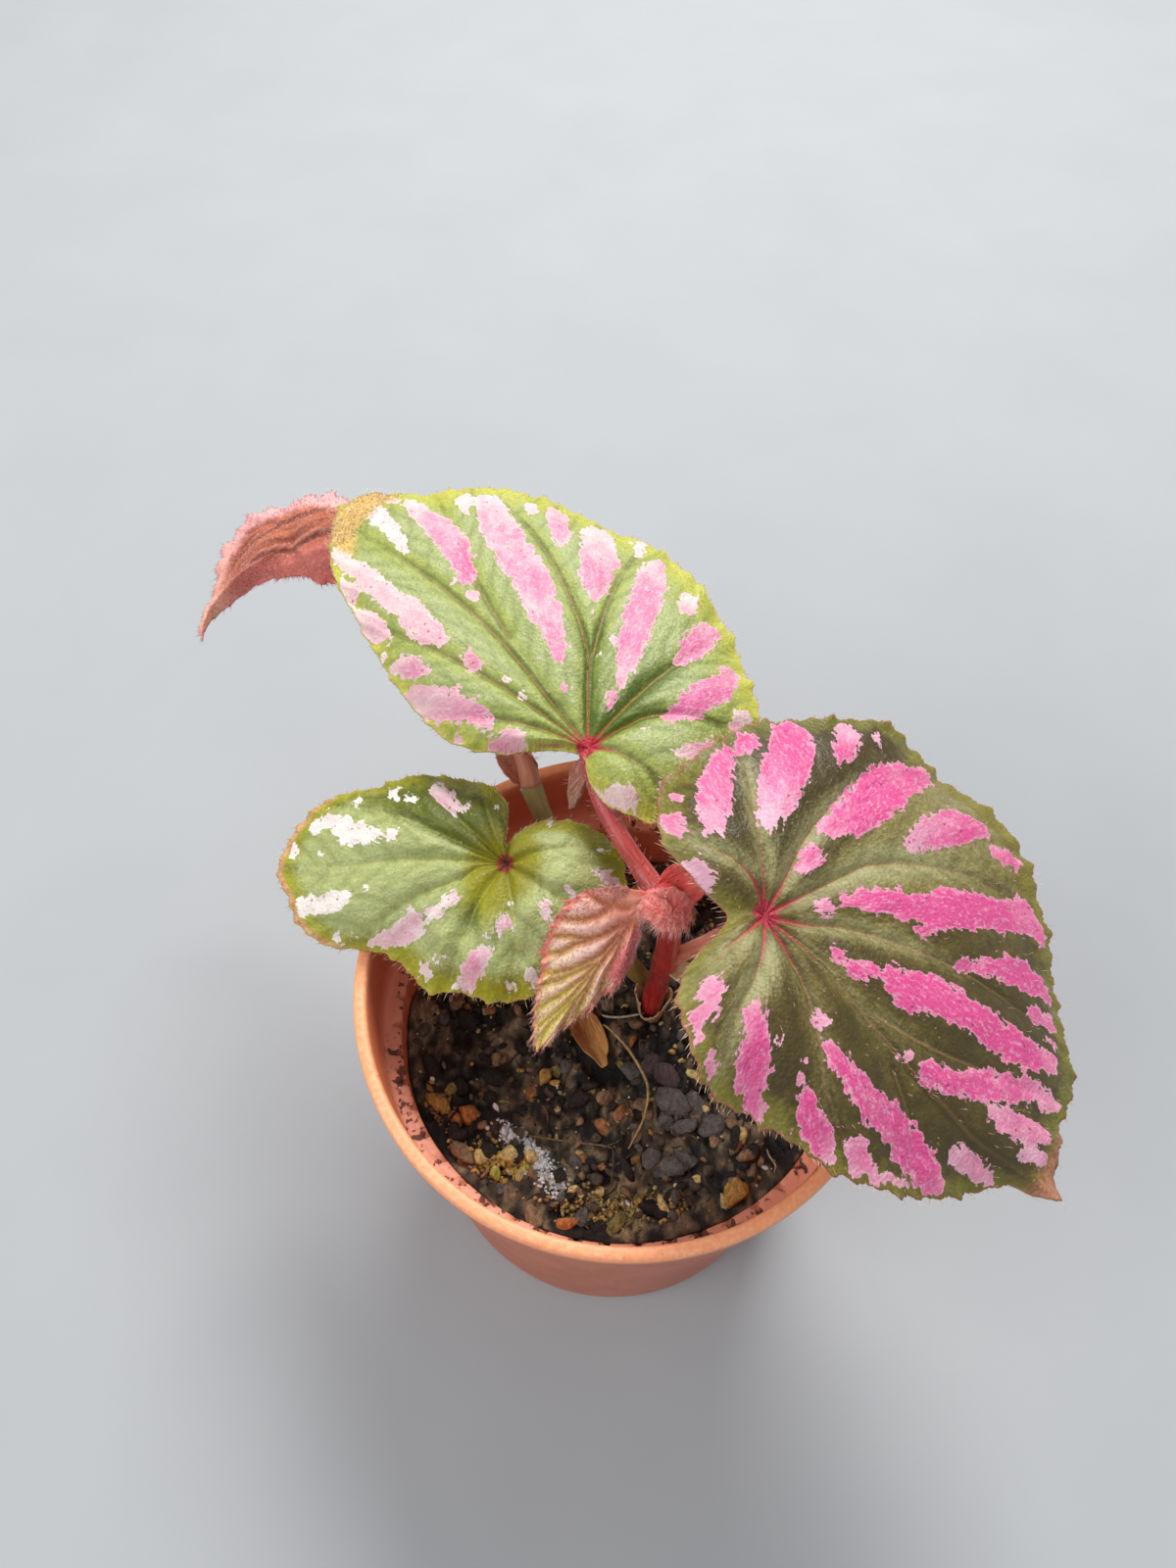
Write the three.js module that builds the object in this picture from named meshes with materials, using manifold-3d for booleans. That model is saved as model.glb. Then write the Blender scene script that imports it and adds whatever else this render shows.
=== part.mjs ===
// A potted begonia: a 9 cm nursery pot, its potting mix, and a young plant with five leaves.
// Millimetres, +Z up, origin at the centre of the pot's underside.
// Seen from the front, +X is to the right and +Y is away from the viewer.
import * as THREE from "three";
import { mergeVertices } from "three/addons/utils/BufferGeometryUtils.js";
import Module from "manifold-3d";

const wasm = await Module();
wasm.setup();

// Clearance kept between pieces that touch on the real plant.
const GAP = 0.3;

// The pot: a tapered cup, a wider collar above a notched ledge, and a rolled lip.
const POT = {
  height: 79,
  lipRadius: 45,
  lipWidth: 2.2,
  lipHeight: 2.8,
  collarTopRadius: 43.6,
  collarBottomRadius: 43,
  ledgeHeight: 62.3,
  ledgeThickness: 1.3,
  bodyTopRadius: 40,
  baseRadius: 36.8,
  wall: 1,
  floor: 1.2,
  segments: 60,
};
const NOTCH = { count: 48, width: 1.3, depth: 1.2, drop: 1 };
const DRAIN = { count: 8, radius: 3.5, ring: 26, sides: 12 };

// The potting mix: high at the front, lower at the back, with coarse grains on top.
const SOIL = { level: 56.3, slope: 0.13, ripple: 0.9, ceiling: 61.6, sectors: 40, rings: 6 };
const GRAIN = { count: 34, smallest: 0.9, largest: 2.1, ring: 33.5, clearOfStems: 5 };
// Larger stones that catch the eye: x, y and radius.
const STONES = [
  [-31, -15, 2.5],
  [-26.4, -18.4, 2.4],
  [-20.1, -25.4, 2],
  [-15.2, -24.2, 2.4],
  [-11.6, -27, 2],
  [9.8, -16.8, 2.5],
  [-2.1, -9.6, 2],
  [17.6, -28.6, 1.9],
];

// Thickness of every blade, and the shares of the radius where its rings of points lie.
const BLADE = 0.7;
const RINGS = [0.2, 0.43, 0.66, 0.86];
// Every third tooth of a margin is a large one.
const TOOTH = { small: 0.7, large: 1.5, every: 3, clearOfSinus: 8 };

// Each leaf has its own frame: base is where the veins meet, heading and rise point to the tip,
// and roll turns the blade about that line. An outline point is [angle, radius]: angle 0 is the tip
// and angles grow counter-clockwise, seen from above. Veins are angles too, with the blade puffed
// up between them. dome lifts the middle, fall drops the margin, wave ripples the margin.
const LEAVES = {
  leaf_back: {
    colour: 0x9aa656,
    base: [-7.2, 27, 106],
    heading: 134.1,
    rise: 3.5,
    roll: -1.8,
    sectors: 64,
    dome: 3,
    fall: 3,
    tipFall: 1.6,
    wave: 0.9,
    waves: 9,
    puff: 0.9,
    veins: [-158, -113, -85, -51, -33, -4, 12, 31, 165],
    outline: [
      [-179, 15.5], [-163, 18.6], [-146, 22], [-128, 26.3], [-115, 29.9], [-101, 31.7], [-90, 35],
      [-79, 38.2], [-68, 42.2], [-57, 47.1], [-48, 49.5], [-40, 53.4], [-31, 58], [-23, 61.6],
      [-14, 65.6], [-8, 70.7], [-3, 71.7], [2, 66.4], [7, 59.8], [13, 48.6], [20, 39], [28, 31.1],
      [38, 23.8], [43, 20.1], [48, 13.3], [51, 5.7], [90, 1.8], [132, 1.9], [141, 4.4],
      [154, 6.8], [166, 9.8], [174, 12.6],
    ],
  },
  leaf_right: {
    colour: 0x5e5a34,
    base: [18, -5.3, 112],
    heading: -37.3,
    rise: -21.6,
    roll: -4.5,
    sectors: 64,
    dome: 3,
    fall: 3,
    tipFall: 1.4,
    wave: 1,
    waves: 8,
    puff: 0.9,
    veins: [-98, -71, -33, -3, 28, 62, 94, 134, 165],
    outline: [
      [-134, 5.5], [-117, 7.5], [-104, 13], [-91, 17.6], [-77, 22.9], [-63, 25.7], [-55, 26.3],
      [-44, 29.6], [-35, 34.3], [-26, 38.6], [-16, 43.9], [-9, 47.4], [-2, 51.5], [5, 57],
      [11, 55.1], [19, 56.5], [25, 54.6], [34, 53.6], [49, 52], [62, 51.4], [70, 49], [79, 45.7],
      [87, 45.4], [93, 44.4], [101, 39.9], [111, 35.6], [125, 32.2], [138, 27.8], [159, 23.8],
      [169, 21.7], [182, 17.3], [194, 11.1], [204, 7.7],
    ],
  },
  leaf_left: {
    colour: 0x8d9a3f,
    base: [-19.9, 12.7, 93],
    heading: 177,
    rise: -10.4,
    roll: -20.9,
    sectors: 52,
    dome: 2.6,
    fall: 3,
    tipFall: 1.2,
    wave: 0.7,
    waves: 7,
    puff: 0.8,
    veins: [-168, -70, -43, -22, -1, 23, 61, 97, 157],
    outline: [
      [-91, 3.2], [-87, 10], [-73, 14.5], [-57, 18.2], [-44, 22.8], [-31, 27.4], [-24, 32.7],
      [-18, 36.8], [-11, 39.3], [-5, 41.1], [1, 41.5], [7, 39], [14, 37.6], [22, 33.8], [28, 28.5],
      [36, 24.7], [47, 24], [57, 24.1], [68, 21.9], [84, 21.9], [102, 21.2], [121, 19.5],
      [138, 19.3], [155, 19.3], [168, 19.6], [187, 18], [206, 14.5], [229, 9.7], [242, 7.4],
      [254, 5.2],
    ],
  },
  leaf_drooping: {
    colour: 0x7a3a2c,
    base: [-65.9, 82.8, 94.4],
    heading: 196.5,
    rise: -30.6,
    roll: -10,
    sectors: 32,
    dome: 3,
    fall: 2,
    tipFall: 2,
    wave: 0.6,
    waves: 5,
    puff: 0.3,
    veins: [-120, -60, 0, 100, 180],
    outline: [
      [-157, 11.6], [-124, 9.6], [-94, 9.3], [-69, 11.3], [-54, 13.6], [-39, 15.1], [-22, 17.1],
      [-7, 20.9], [4, 25.5], [11, 28.2], [14, 24], [16, 17], [24, 11], [45, 7.8], [91, 8.2],
      [112, 13], [133, 16], [152, 17.4], [170, 15.8], [187, 13.4],
    ],
  },
  leaf_young: {
    colour: 0xd8a27c,
    base: [1.7, 2.8, 101],
    heading: -127.3,
    rise: -31.9,
    roll: -32,
    sectors: 46,
    dome: 0.8,
    fall: 1,
    tipFall: 0.8,
    wave: 0,
    waves: 0,
    puff: 1.5,
    veins: [-84, -67, -53, -41, -31, -22, -13, -4, 5, 14, 25],
    outline: [
      [-107, 2], [-89, 3.9], [-69, 7.6], [-55, 11], [-42, 13.5], [-31, 16.3], [-21, 18.6],
      [-15, 21.2], [-8, 24.9], [-1, 28.6], [3, 23.4], [8, 20.2], [12, 16.6], [18, 14], [24, 10.5],
      [29, 6.4], [39, 3.4], [70, 1.6], [140, 1.3], [200, 1.3],
    ],
  },
};

// Stems as paths of [x, y, z, radius], from the lower end to the upper.
const STEMS = {
  main_stem: {
    colour: 0x8c1c2c,
    path: [
      [6.4, 1.6, 40, 1.5], [5.8, 3.6, 57, 2], [6.6, 5.1, 66, 2], [7.2, 4.8, 75, 2.4],
      [7.1, 4.4, 80, 2], [6.7, 3.7, 92, 2.1], [5.6, 4, 98, 2.5], [5.4, 3.6, 100.6, 2.2],
    ],
  },
  side_cane: {
    colour: 0xb5a445,
    path: [
      [5.6, 9.8, 44, 1.3], [4.9, 8.2, 57, 1.6], [1.2, 9.7, 65, 1.5], [-6.4, 16.7, 75, 1.5],
      [-14.5, 27.3, 84, 1.6], [-17.2, 32.3, 87, 2.1],
    ],
  },
  petiole_right: {
    colour: 0xb86a60,
    path: [
      [7.4, 4.7, 76, 1.7], [8.9, 4.6, 77.4, 1.5], [11.9, 3.2, 84, 1.4], [14.5, 0.9, 93, 1.35],
      [18, -4.8, 110.6, 1.4],
    ],
  },
  petiole_left: {
    colour: 0xa08a3c,
    path: [
      [3.6, 8.6, 59.6, 1.5], [-1.4, 9.2, 65.8, 1.3], [-6.2, 9.6, 72, 1.25], [-14.8, 12.4, 82, 1.25],
      [-19.4, 12.8, 91.4, 1.4],
    ],
  },
  petiole_back: {
    colour: 0xc0443f,
    path: [
      [5.4, 4.6, 96.4, 2], [1.9, 9.5, 98, 1.7], [-1, 13, 100.2, 1.5], [-4.8, 19.3, 102.6, 1.45],
      [-7.1, 26.8, 104.9, 1.5],
    ],
  },
  petiole_drooping: {
    colour: 0x96343a,
    path: [
      [-17, 32, 87.4, 2], [-18.6, 35.6, 91, 1.6], [-23.8, 42.6, 94.4, 1.4], [-34.5, 57.5, 96.8, 1.4],
      [-47, 74.3, 98.4, 1.3], [-53.2, 80.2, 99.2, 1.4],
    ],
  },
  petiole_young: {
    colour: 0xd0626a,
    path: [[5.4, 3.9, 99.2, 1.8], [3.6, 3.6, 100.2, 1.4], [1.9, 3, 100.2, 1.2]],
  },
};

// Dry and fresh bracts, as small cupped blades placed the way the leaves are.
const BRACTS = {
  stipule_shoot: {
    colour: 0xd8485c, base: [8.4, 5.8, 101], heading: 18, rise: 38, roll: 25, length: 5, width: 3.4,
    cup: 1.2,
  },
  stipule_cane: {
    colour: 0xc07a62, base: [-19.6, 34.4, 91], heading: 150, rise: 52, roll: -30, length: 5.2,
    width: 3, cup: 1,
  },
  stipule_hanging: {
    colour: 0x8a6a4c, base: [-8.2, 25.4, 99], heading: 215, rise: -70, roll: 15, length: 5.4,
    width: 2.6, cup: 0.9,
  },
  stipule_beige: {
    colour: 0xc9b38a, base: [10.6, 3, 74.2], heading: -28, rise: -12, roll: 40, length: 3, width: 1.5,
    cup: 0.5,
  },
  stipule_brown: {
    colour: 0x9c6a30, base: [-6.2, -1.6, 57.6], heading: -62, rise: 6, roll: -12, length: 6.2,
    width: 3, cup: 1.1,
  },
};

// The shoot tip: two young bracts folded over each other in one hairy bud.
const BUD = { foot: [5.8, 3, 99.4], tip: [5.1, -3.2, 107], width: 3.6, depth: 2.9, sides: 14 };

// The torn dry sheath round the foot of the main stem.
const SHEATH = { bottom: 54.4, top: 60.4, inner: 0.3, wall: 0.8, flare: 1.3, prongs: 3 };

// Helpers for numbers

const radians = THREE.MathUtils.degToRad;
const smoothstep = THREE.MathUtils.smoothstep;

// Repeatable random numbers from 0 to 1.
function seeded(seed) {
  let state = seed;
  return () => {
    state = (state * 1664525 + 1013904223) % 4294967296;
    return state / 4294967296;
  };
}

function vector([x, y, z]) {
  return new THREE.Vector3(x, y, z);
}

// Helpers for solids

// A closed solid of a geometry, after an optional placing matrix.
function solidOf(geometry, matrix = new THREE.Matrix4()) {
  const bare = geometry.clone().applyMatrix4(matrix);
  bare.deleteAttribute("normal");
  bare.deleteAttribute("uv");
  const merged = mergeVertices(bare, 1e-4);
  const corners = merged.index.array;
  const kept = [];
  for (let i = 0; i < corners.length; i += 3) {
    const [a, b, c] = corners.slice(i, i + 3);
    if (a !== b && b !== c && a !== c) kept.push(a, b, c);
  }
  return new wasm.Manifold(
    new wasm.Mesh({
      numProp: 3,
      vertProperties: merged.attributes.position.array,
      triVerts: new Uint32Array(kept),
    }),
  );
}

// The geometry of a solid's largest body: scraps that a cut leaves behind are dropped.
function geometryOf(solid) {
  const bodies = solid.decompose().sort((a, b) => b.volume() - a.volume());
  const mesh = bodies[0].getMesh();
  const geometry = new THREE.BufferGeometry();
  geometry.setAttribute("position", new THREE.BufferAttribute(mesh.vertProperties, 3));
  geometry.setIndex(new THREE.BufferAttribute(mesh.triVerts, 1));
  return geometry;
}

function cut(solid, ...tools) {
  return tools.reduce((rest, tool) => rest.subtract(tool), solid);
}

// A mesh with its own material.
function piece(name, colour, geometry, roughness = 0.55) {
  geometry.computeVertexNormals();
  const material = new THREE.MeshStandardMaterial({ color: colour, roughness, metalness: 0 });
  const mesh = new THREE.Mesh(geometry, material);
  mesh.name = name;
  return mesh;
}

// Leaf blades

// The matrix from a leaf's own frame, tip along X and upper face along Z, to the plant's.
function placing({ base, heading, rise, roll }) {
  const turn = new THREE.Matrix4().makeRotationZ(radians(heading));
  const pitch = new THREE.Matrix4().makeRotationY(radians(-rise));
  const bank = new THREE.Matrix4().makeRotationX(radians(roll));
  return new THREE.Matrix4()
    .makeTranslation(...base)
    .multiply(turn)
    .multiply(pitch)
    .multiply(bank);
}

// 0 on a vein and 1 halfway between two veins, less where the veins stand close.
function betweenVeins(angle, veins) {
  const wide = 25;
  const after = veins.findIndex((vein) => vein > angle);
  const last = veins.length - 1;
  const upper = after < 0 ? veins[0] + 360 : veins[after];
  const lower = after < 0 ? veins[last] : after === 0 ? veins[last] - 360 : veins[after - 1];
  const share = (angle - lower) / (upper - lower);
  return Math.sin(Math.PI * share) * Math.min(1, (upper - lower) / wide);
}

// The height of the blade's middle surface at a share of the way to the margin.
function bladeHeight(leaf, angle, share, reach) {
  const body = smoothstep(reach, 3, 16);
  const dome = leaf.dome * 4 * share * (1 - share);
  const fall = leaf.fall * share ** 2;
  const tip = leaf.tipFall * share ** 3 * Math.exp(-((angle / 12) ** 2));
  const wave = leaf.wave * share ** 4 * Math.sin(radians(angle * leaf.waves));
  const puff = leaf.puff * betweenVeins(angle, leaf.veins) * Math.sin(Math.PI * share ** 0.8);
  return body * (dome - fall - tip + wave) + smoothstep(reach, 2, 9) * puff;
}

// How far a margin point stands out: even points are valleys, odd points are tooth tips.
function toothAt(index, reach) {
  if (index % 2 === 0 || reach < TOOTH.clearOfSinus) return 0;
  const large = ((index - 1) / 2) % TOOTH.every === 0;
  return large ? TOOTH.large : TOOTH.small;
}

// The middle surface of a blade: a hub, rings of points round it, then the toothed margin.
function bladeSurface(leaf, grow) {
  const count = 2 * leaf.sectors;
  const corners = leaf.outline.map(([angle, radius]) => {
    return new THREE.Vector3(radius * Math.cos(radians(angle)), radius * Math.sin(radians(angle)), 0);
  });
  const outline = new THREE.CatmullRomCurve3(corners, true, "centripetal");
  const margin = outline.getSpacedPoints(count).slice(0, count);
  const points = [new THREE.Vector3(0, 0, 0)];
  const place = (around, share, extra) => {
    const reach = margin[around].length();
    const angle = THREE.MathUtils.radToDeg(Math.atan2(margin[around].y, margin[around].x));
    const radius = reach * share + extra;
    const turn = radians(angle);
    points.push(
      new THREE.Vector3(
        radius * Math.cos(turn),
        radius * Math.sin(turn),
        bladeHeight(leaf, angle, share, reach),
      ),
    );
  };
  for (const share of RINGS) {
    for (let i = 0; i < count; i += 2) place(i, share, 0);
  }
  for (let i = 0; i < count; i++) place(i, 1, toothAt(i, margin[i].length()) + grow);
  return { points, faces: bladeFaces(leaf.sectors), rim: count };
}

// Triangles of the middle surface, counter-clockwise from above.
function bladeFaces(sectors) {
  const faces = [];
  const ring = (k, i) => 1 + k * sectors + (i % sectors);
  const last = RINGS.length - 1;
  for (let i = 0; i < sectors; i++) {
    faces.push([0, ring(0, i), ring(0, i + 1)]);
    for (let k = 0; k < last; k++) {
      faces.push([ring(k, i), ring(k + 1, i), ring(k + 1, i + 1)]);
      faces.push([ring(k, i), ring(k + 1, i + 1), ring(k, i + 1)]);
    }
    const first = 1 + RINGS.length * sectors;
    const edge = (j) => first + (j % (2 * sectors));
    faces.push([ring(last, i), edge(2 * i), edge(2 * i + 1)]);
    faces.push([ring(last, i), edge(2 * i + 1), ring(last, i + 1)]);
    faces.push([ring(last, i + 1), edge(2 * i + 1), edge(2 * i + 2)]);
  }
  return faces;
}

// A closed sheet of even thickness about a middle surface whose last points are its rim.
function thicken({ points, faces, rim }, thickness) {
  const middle = new THREE.BufferGeometry().setFromPoints(points);
  middle.setIndex(faces.flat());
  middle.computeVertexNormals();
  const normals = middle.attributes.normal;
  const count = points.length;
  const shifted = [thickness / 2, -thickness / 2].flatMap((offset) =>
    points.map((point, i) => {
      const normal = new THREE.Vector3().fromBufferAttribute(normals, i);
      return point.clone().addScaledVector(normal, offset);
    }),
  );
  const triangles = faces.flatMap(([a, b, c]) => [a, b, c, count + c, count + b, count + a]);
  for (let i = 0; i < rim; i++) {
    const here = count - rim + i;
    const next = count - rim + ((i + 1) % rim);
    triangles.push(here, count + here, next, next, count + here, count + next);
  }
  const geometry = new THREE.BufferGeometry().setFromPoints(shifted);
  geometry.setIndex(triangles);
  return geometry;
}

function blade(leaf, grow = 0) {
  return thicken(bladeSurface(leaf, grow), BLADE + 2 * grow);
}

// Bracts

// A small pointed scale, cupped along its length, centred on its own middle.
function bract({ length, width, cup }, grow = 0) {
  const sides = 14;
  const points = [new THREE.Vector3(0, 0, -cup)];
  for (const share of [0.5, 1]) {
    for (let i = 0; i < sides; i++) {
      const turn = (2 * Math.PI * i) / sides;
      const point = 1 + 0.25 * Math.max(0, Math.cos(turn)) ** 6;
      const x = (length * share * point + grow * share) * Math.cos(turn);
      const y = (width * share + grow * share) * Math.sin(turn);
      points.push(new THREE.Vector3(x, y, cup * (share * Math.sin(turn)) ** 2 - cup * (1 - share)));
    }
  }
  const faces = [];
  for (let i = 0; i < sides; i++) {
    const next = (i + 1) % sides;
    faces.push([0, 1 + i, 1 + next]);
    faces.push([1 + i, 1 + sides + i, 1 + sides + next]);
    faces.push([1 + i, 1 + sides + next, 1 + next]);
  }
  return thicken({ points, faces, rim: sides }, BLADE + 2 * grow);
}

// Stems

// A closed rod of changing radius along a smooth path, with blunt pointed ends.
function stalk(path, grow = 0) {
  const sides = 8;
  const stepsPerSpan = 3;
  const curve = new THREE.CatmullRomCurve3(path.map(vector));
  const steps = (path.length - 1) * stepsPerSpan;
  const frames = curve.computeFrenetFrames(steps);
  const radiusAt = (share) => {
    const along = curve.getUtoTmapping(share) * (path.length - 1);
    const span = Math.min(Math.floor(along), path.length - 2);
    return THREE.MathUtils.lerp(path[span][3], path[span + 1][3], along - span) + grow;
  };
  const points = [];
  for (let i = 0; i <= steps; i++) {
    const centre = curve.getPointAt(i / steps);
    const radius = radiusAt(i / steps);
    for (let j = 0; j < sides; j++) {
      const turn = (2 * Math.PI * j) / sides;
      points.push(
        centre
          .clone()
          .addScaledVector(frames.normals[i], radius * Math.cos(turn))
          .addScaledVector(frames.binormals[i], radius * Math.sin(turn)),
      );
    }
  }
  const blunt = 0.6;
  const foot = curve.getPointAt(0).addScaledVector(frames.tangents[0], -blunt * radiusAt(0));
  const head = curve.getPointAt(1).addScaledVector(frames.tangents[steps], blunt * radiusAt(1));
  points.push(foot, head);
  const triangles = [];
  const at = (i, j) => i * sides + (j % sides);
  const footIndex = (steps + 1) * sides;
  for (let j = 0; j < sides; j++) {
    for (let i = 0; i < steps; i++) {
      triangles.push(at(i, j), at(i, j + 1), at(i + 1, j + 1));
      triangles.push(at(i, j), at(i + 1, j + 1), at(i + 1, j));
    }
    triangles.push(footIndex, at(0, j + 1), at(0, j));
    triangles.push(footIndex + 1, at(steps, j), at(steps, j + 1));
  }
  const geometry = new THREE.BufferGeometry().setFromPoints(points);
  geometry.setIndex(triangles);
  return geometry;
}

// A lathe about the upright axis, from [radius, height] points.
function turned(profile, segments) {
  const points = profile.map(([radius, height]) => new THREE.Vector2(radius, height));
  return new THREE.LatheGeometry(points, segments).rotateX(Math.PI / 2);
}

// The bud: a turned bud shape, flattened, with its point along the shoot.
function bud(grow = 0) {
  const foot = vector(BUD.foot);
  const axis = vector(BUD.tip).sub(foot);
  const length = axis.length();
  const profile = [[0, 0], [0.5, 0.04], [0.86, 0.2], [1, 0.42], [0.86, 0.66], [0.46, 0.88], [0, 1]];
  const shape = turned(profile, BUD.sides);
  shape.scale(BUD.width + grow, BUD.depth + grow, length + 2 * grow);
  shape.translate(0, 0, -grow);
  const up = new THREE.Vector3(0, 0, 1);
  const turn = new THREE.Quaternion().setFromUnitVectors(up, axis.clone().normalize());
  return shape.applyQuaternion(turn).translate(foot.x, foot.y, foot.z);
}

// The sheath: a thin ring round the stem's foot, with its top torn into prongs.
function sheath(stem, grow = 0) {
  const [x, y] = stem.path[1];
  const stemRadius = stem.path[1][3];
  const inner = stemRadius + SHEATH.inner;
  const sides = 18;
  const rows = [
    [inner - grow, SHEATH.bottom - grow, 0],
    [inner + SHEATH.wall + grow, SHEATH.bottom - grow, 0],
    [inner + SHEATH.wall + SHEATH.flare + grow, SHEATH.top + grow, 1],
    [inner + SHEATH.flare - grow, SHEATH.top + grow, 1],
  ];
  const points = rows.flatMap(([radius, height, torn]) =>
    Array.from({ length: sides }, (_, j) => {
      const turn = (2 * Math.PI * j) / sides;
      const prong = 1.6 * torn * Math.sin(SHEATH.prongs * turn);
      return new THREE.Vector3(x + radius * Math.cos(turn), y + radius * Math.sin(turn), height + prong);
    }),
  );
  const triangles = [];
  for (let k = 0; k < rows.length; k++) {
    for (let j = 0; j < sides; j++) {
      const a = k * sides + j;
      const b = k * sides + ((j + 1) % sides);
      const c = ((k + 1) % rows.length) * sides + j;
      const d = ((k + 1) % rows.length) * sides + ((j + 1) % sides);
      triangles.push(a, b, d, a, d, c);
    }
  }
  const geometry = new THREE.BufferGeometry().setFromPoints(points);
  geometry.setIndex(triangles);
  return geometry;
}

// Pot

function wallRadius(height) {
  const share = height / (POT.ledgeHeight - POT.ledgeThickness);
  return THREE.MathUtils.lerp(POT.baseRadius, POT.bodyTopRadius, share) - POT.wall;
}

function potShell() {
  const ledgeBottom = POT.ledgeHeight - POT.ledgeThickness;
  const lipBottom = POT.height - POT.lipHeight;
  const lipInner = POT.lipRadius - POT.lipWidth;
  return turned(
    [
      [0, 0],
      [POT.baseRadius - 0.8, 0],
      [POT.baseRadius, 0.8],
      [POT.bodyTopRadius, ledgeBottom],
      [POT.collarBottomRadius, ledgeBottom],
      [POT.collarTopRadius, lipBottom],
      [POT.lipRadius - 0.5, lipBottom],
      [POT.lipRadius, lipBottom + 0.6],
      [POT.lipRadius, POT.height - 0.9],
      [POT.lipRadius - 0.7, POT.height],
      [lipInner + 0.6, POT.height],
      [lipInner, POT.height - 0.7],
      [POT.collarTopRadius - POT.wall, lipBottom],
      [POT.collarBottomRadius - POT.wall, POT.ledgeHeight],
      [wallRadius(POT.ledgeHeight), POT.ledgeHeight],
      [wallRadius(POT.floor), POT.floor],
      [0, POT.floor],
    ],
    POT.segments,
  );
}

// One small wedge that is cut from the ledge's inner edge.
function ledgeNotch() {
  const shape = new THREE.Shape([
    new THREE.Vector2(-1, NOTCH.width / 2),
    new THREE.Vector2(-1, -NOTCH.width / 2),
    new THREE.Vector2(NOTCH.depth, 0),
  ]);
  const wedge = new THREE.ExtrudeGeometry(shape, { depth: 2 * NOTCH.drop, bevelEnabled: false });
  return wedge.translate(wallRadius(POT.ledgeHeight), 0, POT.ledgeHeight - NOTCH.drop);
}

function pot() {
  let shell = solidOf(potShell());
  const notch = ledgeNotch();
  for (let i = 0; i < NOTCH.count; i++) {
    const turn = (2 * Math.PI * (i + 0.5)) / NOTCH.count;
    shell = shell.subtract(solidOf(notch, new THREE.Matrix4().makeRotationZ(turn)));
  }
  for (let i = 0; i < DRAIN.count; i++) {
    const turn = (2 * Math.PI * i) / DRAIN.count;
    const drill = new THREE.CylinderGeometry(DRAIN.radius, DRAIN.radius, 6, DRAIN.sides);
    drill.rotateX(Math.PI / 2).translate(DRAIN.ring * Math.cos(turn), DRAIN.ring * Math.sin(turn), 0);
    shell = shell.subtract(solidOf(drill));
  }
  return shell;
}

// Potting mix

function soilHeight(x, y) {
  const ripple = Math.sin(x * 0.31 + 1.3) * Math.cos(y * 0.27 - 0.6) + 0.5 * Math.sin(x * 0.11 - y * 0.53);
  return SOIL.level - SOIL.slope * y + SOIL.ripple * ripple;
}

// The bed of mix: a rippled top, the pot's taper at the side and a flat bottom.
function soilBed() {
  const { sectors, rings } = SOIL;
  const bottom = POT.floor + GAP;
  const points = [new THREE.Vector3(0, 0, soilHeight(0, 0))];
  const around = (j) => (2 * Math.PI * j) / sectors;
  for (let k = 1; k <= rings; k++) {
    for (let j = 0; j < sectors; j++) {
      const lowest = SOIL.level - SOIL.slope * POT.bodyTopRadius * Math.sin(around(j)) - SOIL.ripple;
      const edge = wallRadius(lowest) - GAP;
      const x = edge * (k / rings) * Math.cos(around(j));
      const y = edge * (k / rings) * Math.sin(around(j));
      points.push(new THREE.Vector3(x, y, Math.min(soilHeight(x, y), SOIL.ceiling)));
    }
  }
  const foot = wallRadius(bottom) - GAP;
  for (let j = 0; j < sectors; j++) {
    points.push(new THREE.Vector3(foot * Math.cos(around(j)), foot * Math.sin(around(j)), bottom));
  }
  points.push(new THREE.Vector3(0, 0, bottom));
  const at = (k, j) => 1 + (k - 1) * sectors + (j % sectors);
  const centre = points.length - 1;
  const triangles = [];
  for (let j = 0; j < sectors; j++) {
    triangles.push(0, at(1, j), at(1, j + 1));
    for (let k = 1; k <= rings; k++) {
      triangles.push(at(k, j), at(k + 1, j), at(k + 1, j + 1));
      triangles.push(at(k, j), at(k + 1, j + 1), at(k, j + 1));
    }
    triangles.push(centre, at(rings + 1, j + 1), at(rings + 1, j));
  }
  const geometry = new THREE.BufferGeometry().setFromPoints(points);
  geometry.setIndex(triangles);
  return geometry;
}

// One lump: an uneven many-sided stone, sunk to below its middle in the mix.
function grain(x, y, radius, random) {
  const stone = new THREE.IcosahedronGeometry(radius, 0);
  stone.scale(0.8 + 0.5 * random(), 0.8 + 0.4 * random(), 0.7 + 0.3 * random());
  stone.rotateX(random() * 6).rotateZ(random() * 6);
  const highest = SOIL.ceiling - 0.8 * radius;
  return stone.translate(x, y, Math.min(soilHeight(x, y) + 0.1 * radius, highest));
}

function soil(stemFeet) {
  const random = seeded(20417);
  let bed = solidOf(soilBed());
  for (const [x, y, radius] of STONES) bed = bed.add(solidOf(grain(x, y, radius, random)));
  for (let i = 0; i < GRAIN.count; i++) {
    const turn = random() * 2 * Math.PI;
    const out = GRAIN.ring * Math.sqrt(random());
    const radius = THREE.MathUtils.lerp(GRAIN.smallest, GRAIN.largest, random() ** 2);
    const x = out * Math.cos(turn);
    const y = out * Math.sin(turn);
    const lump = solidOf(grain(x, y, radius, random));
    const crowded = stemFeet.some(([sx, sy]) => Math.hypot(x - sx, y - sy) < GRAIN.clearOfStems);
    if (!crowded) bed = bed.add(lump);
  }
  return bed;
}

// Assembly: each piece is cut clear of what carries it, so it ends in a true seat.

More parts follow.
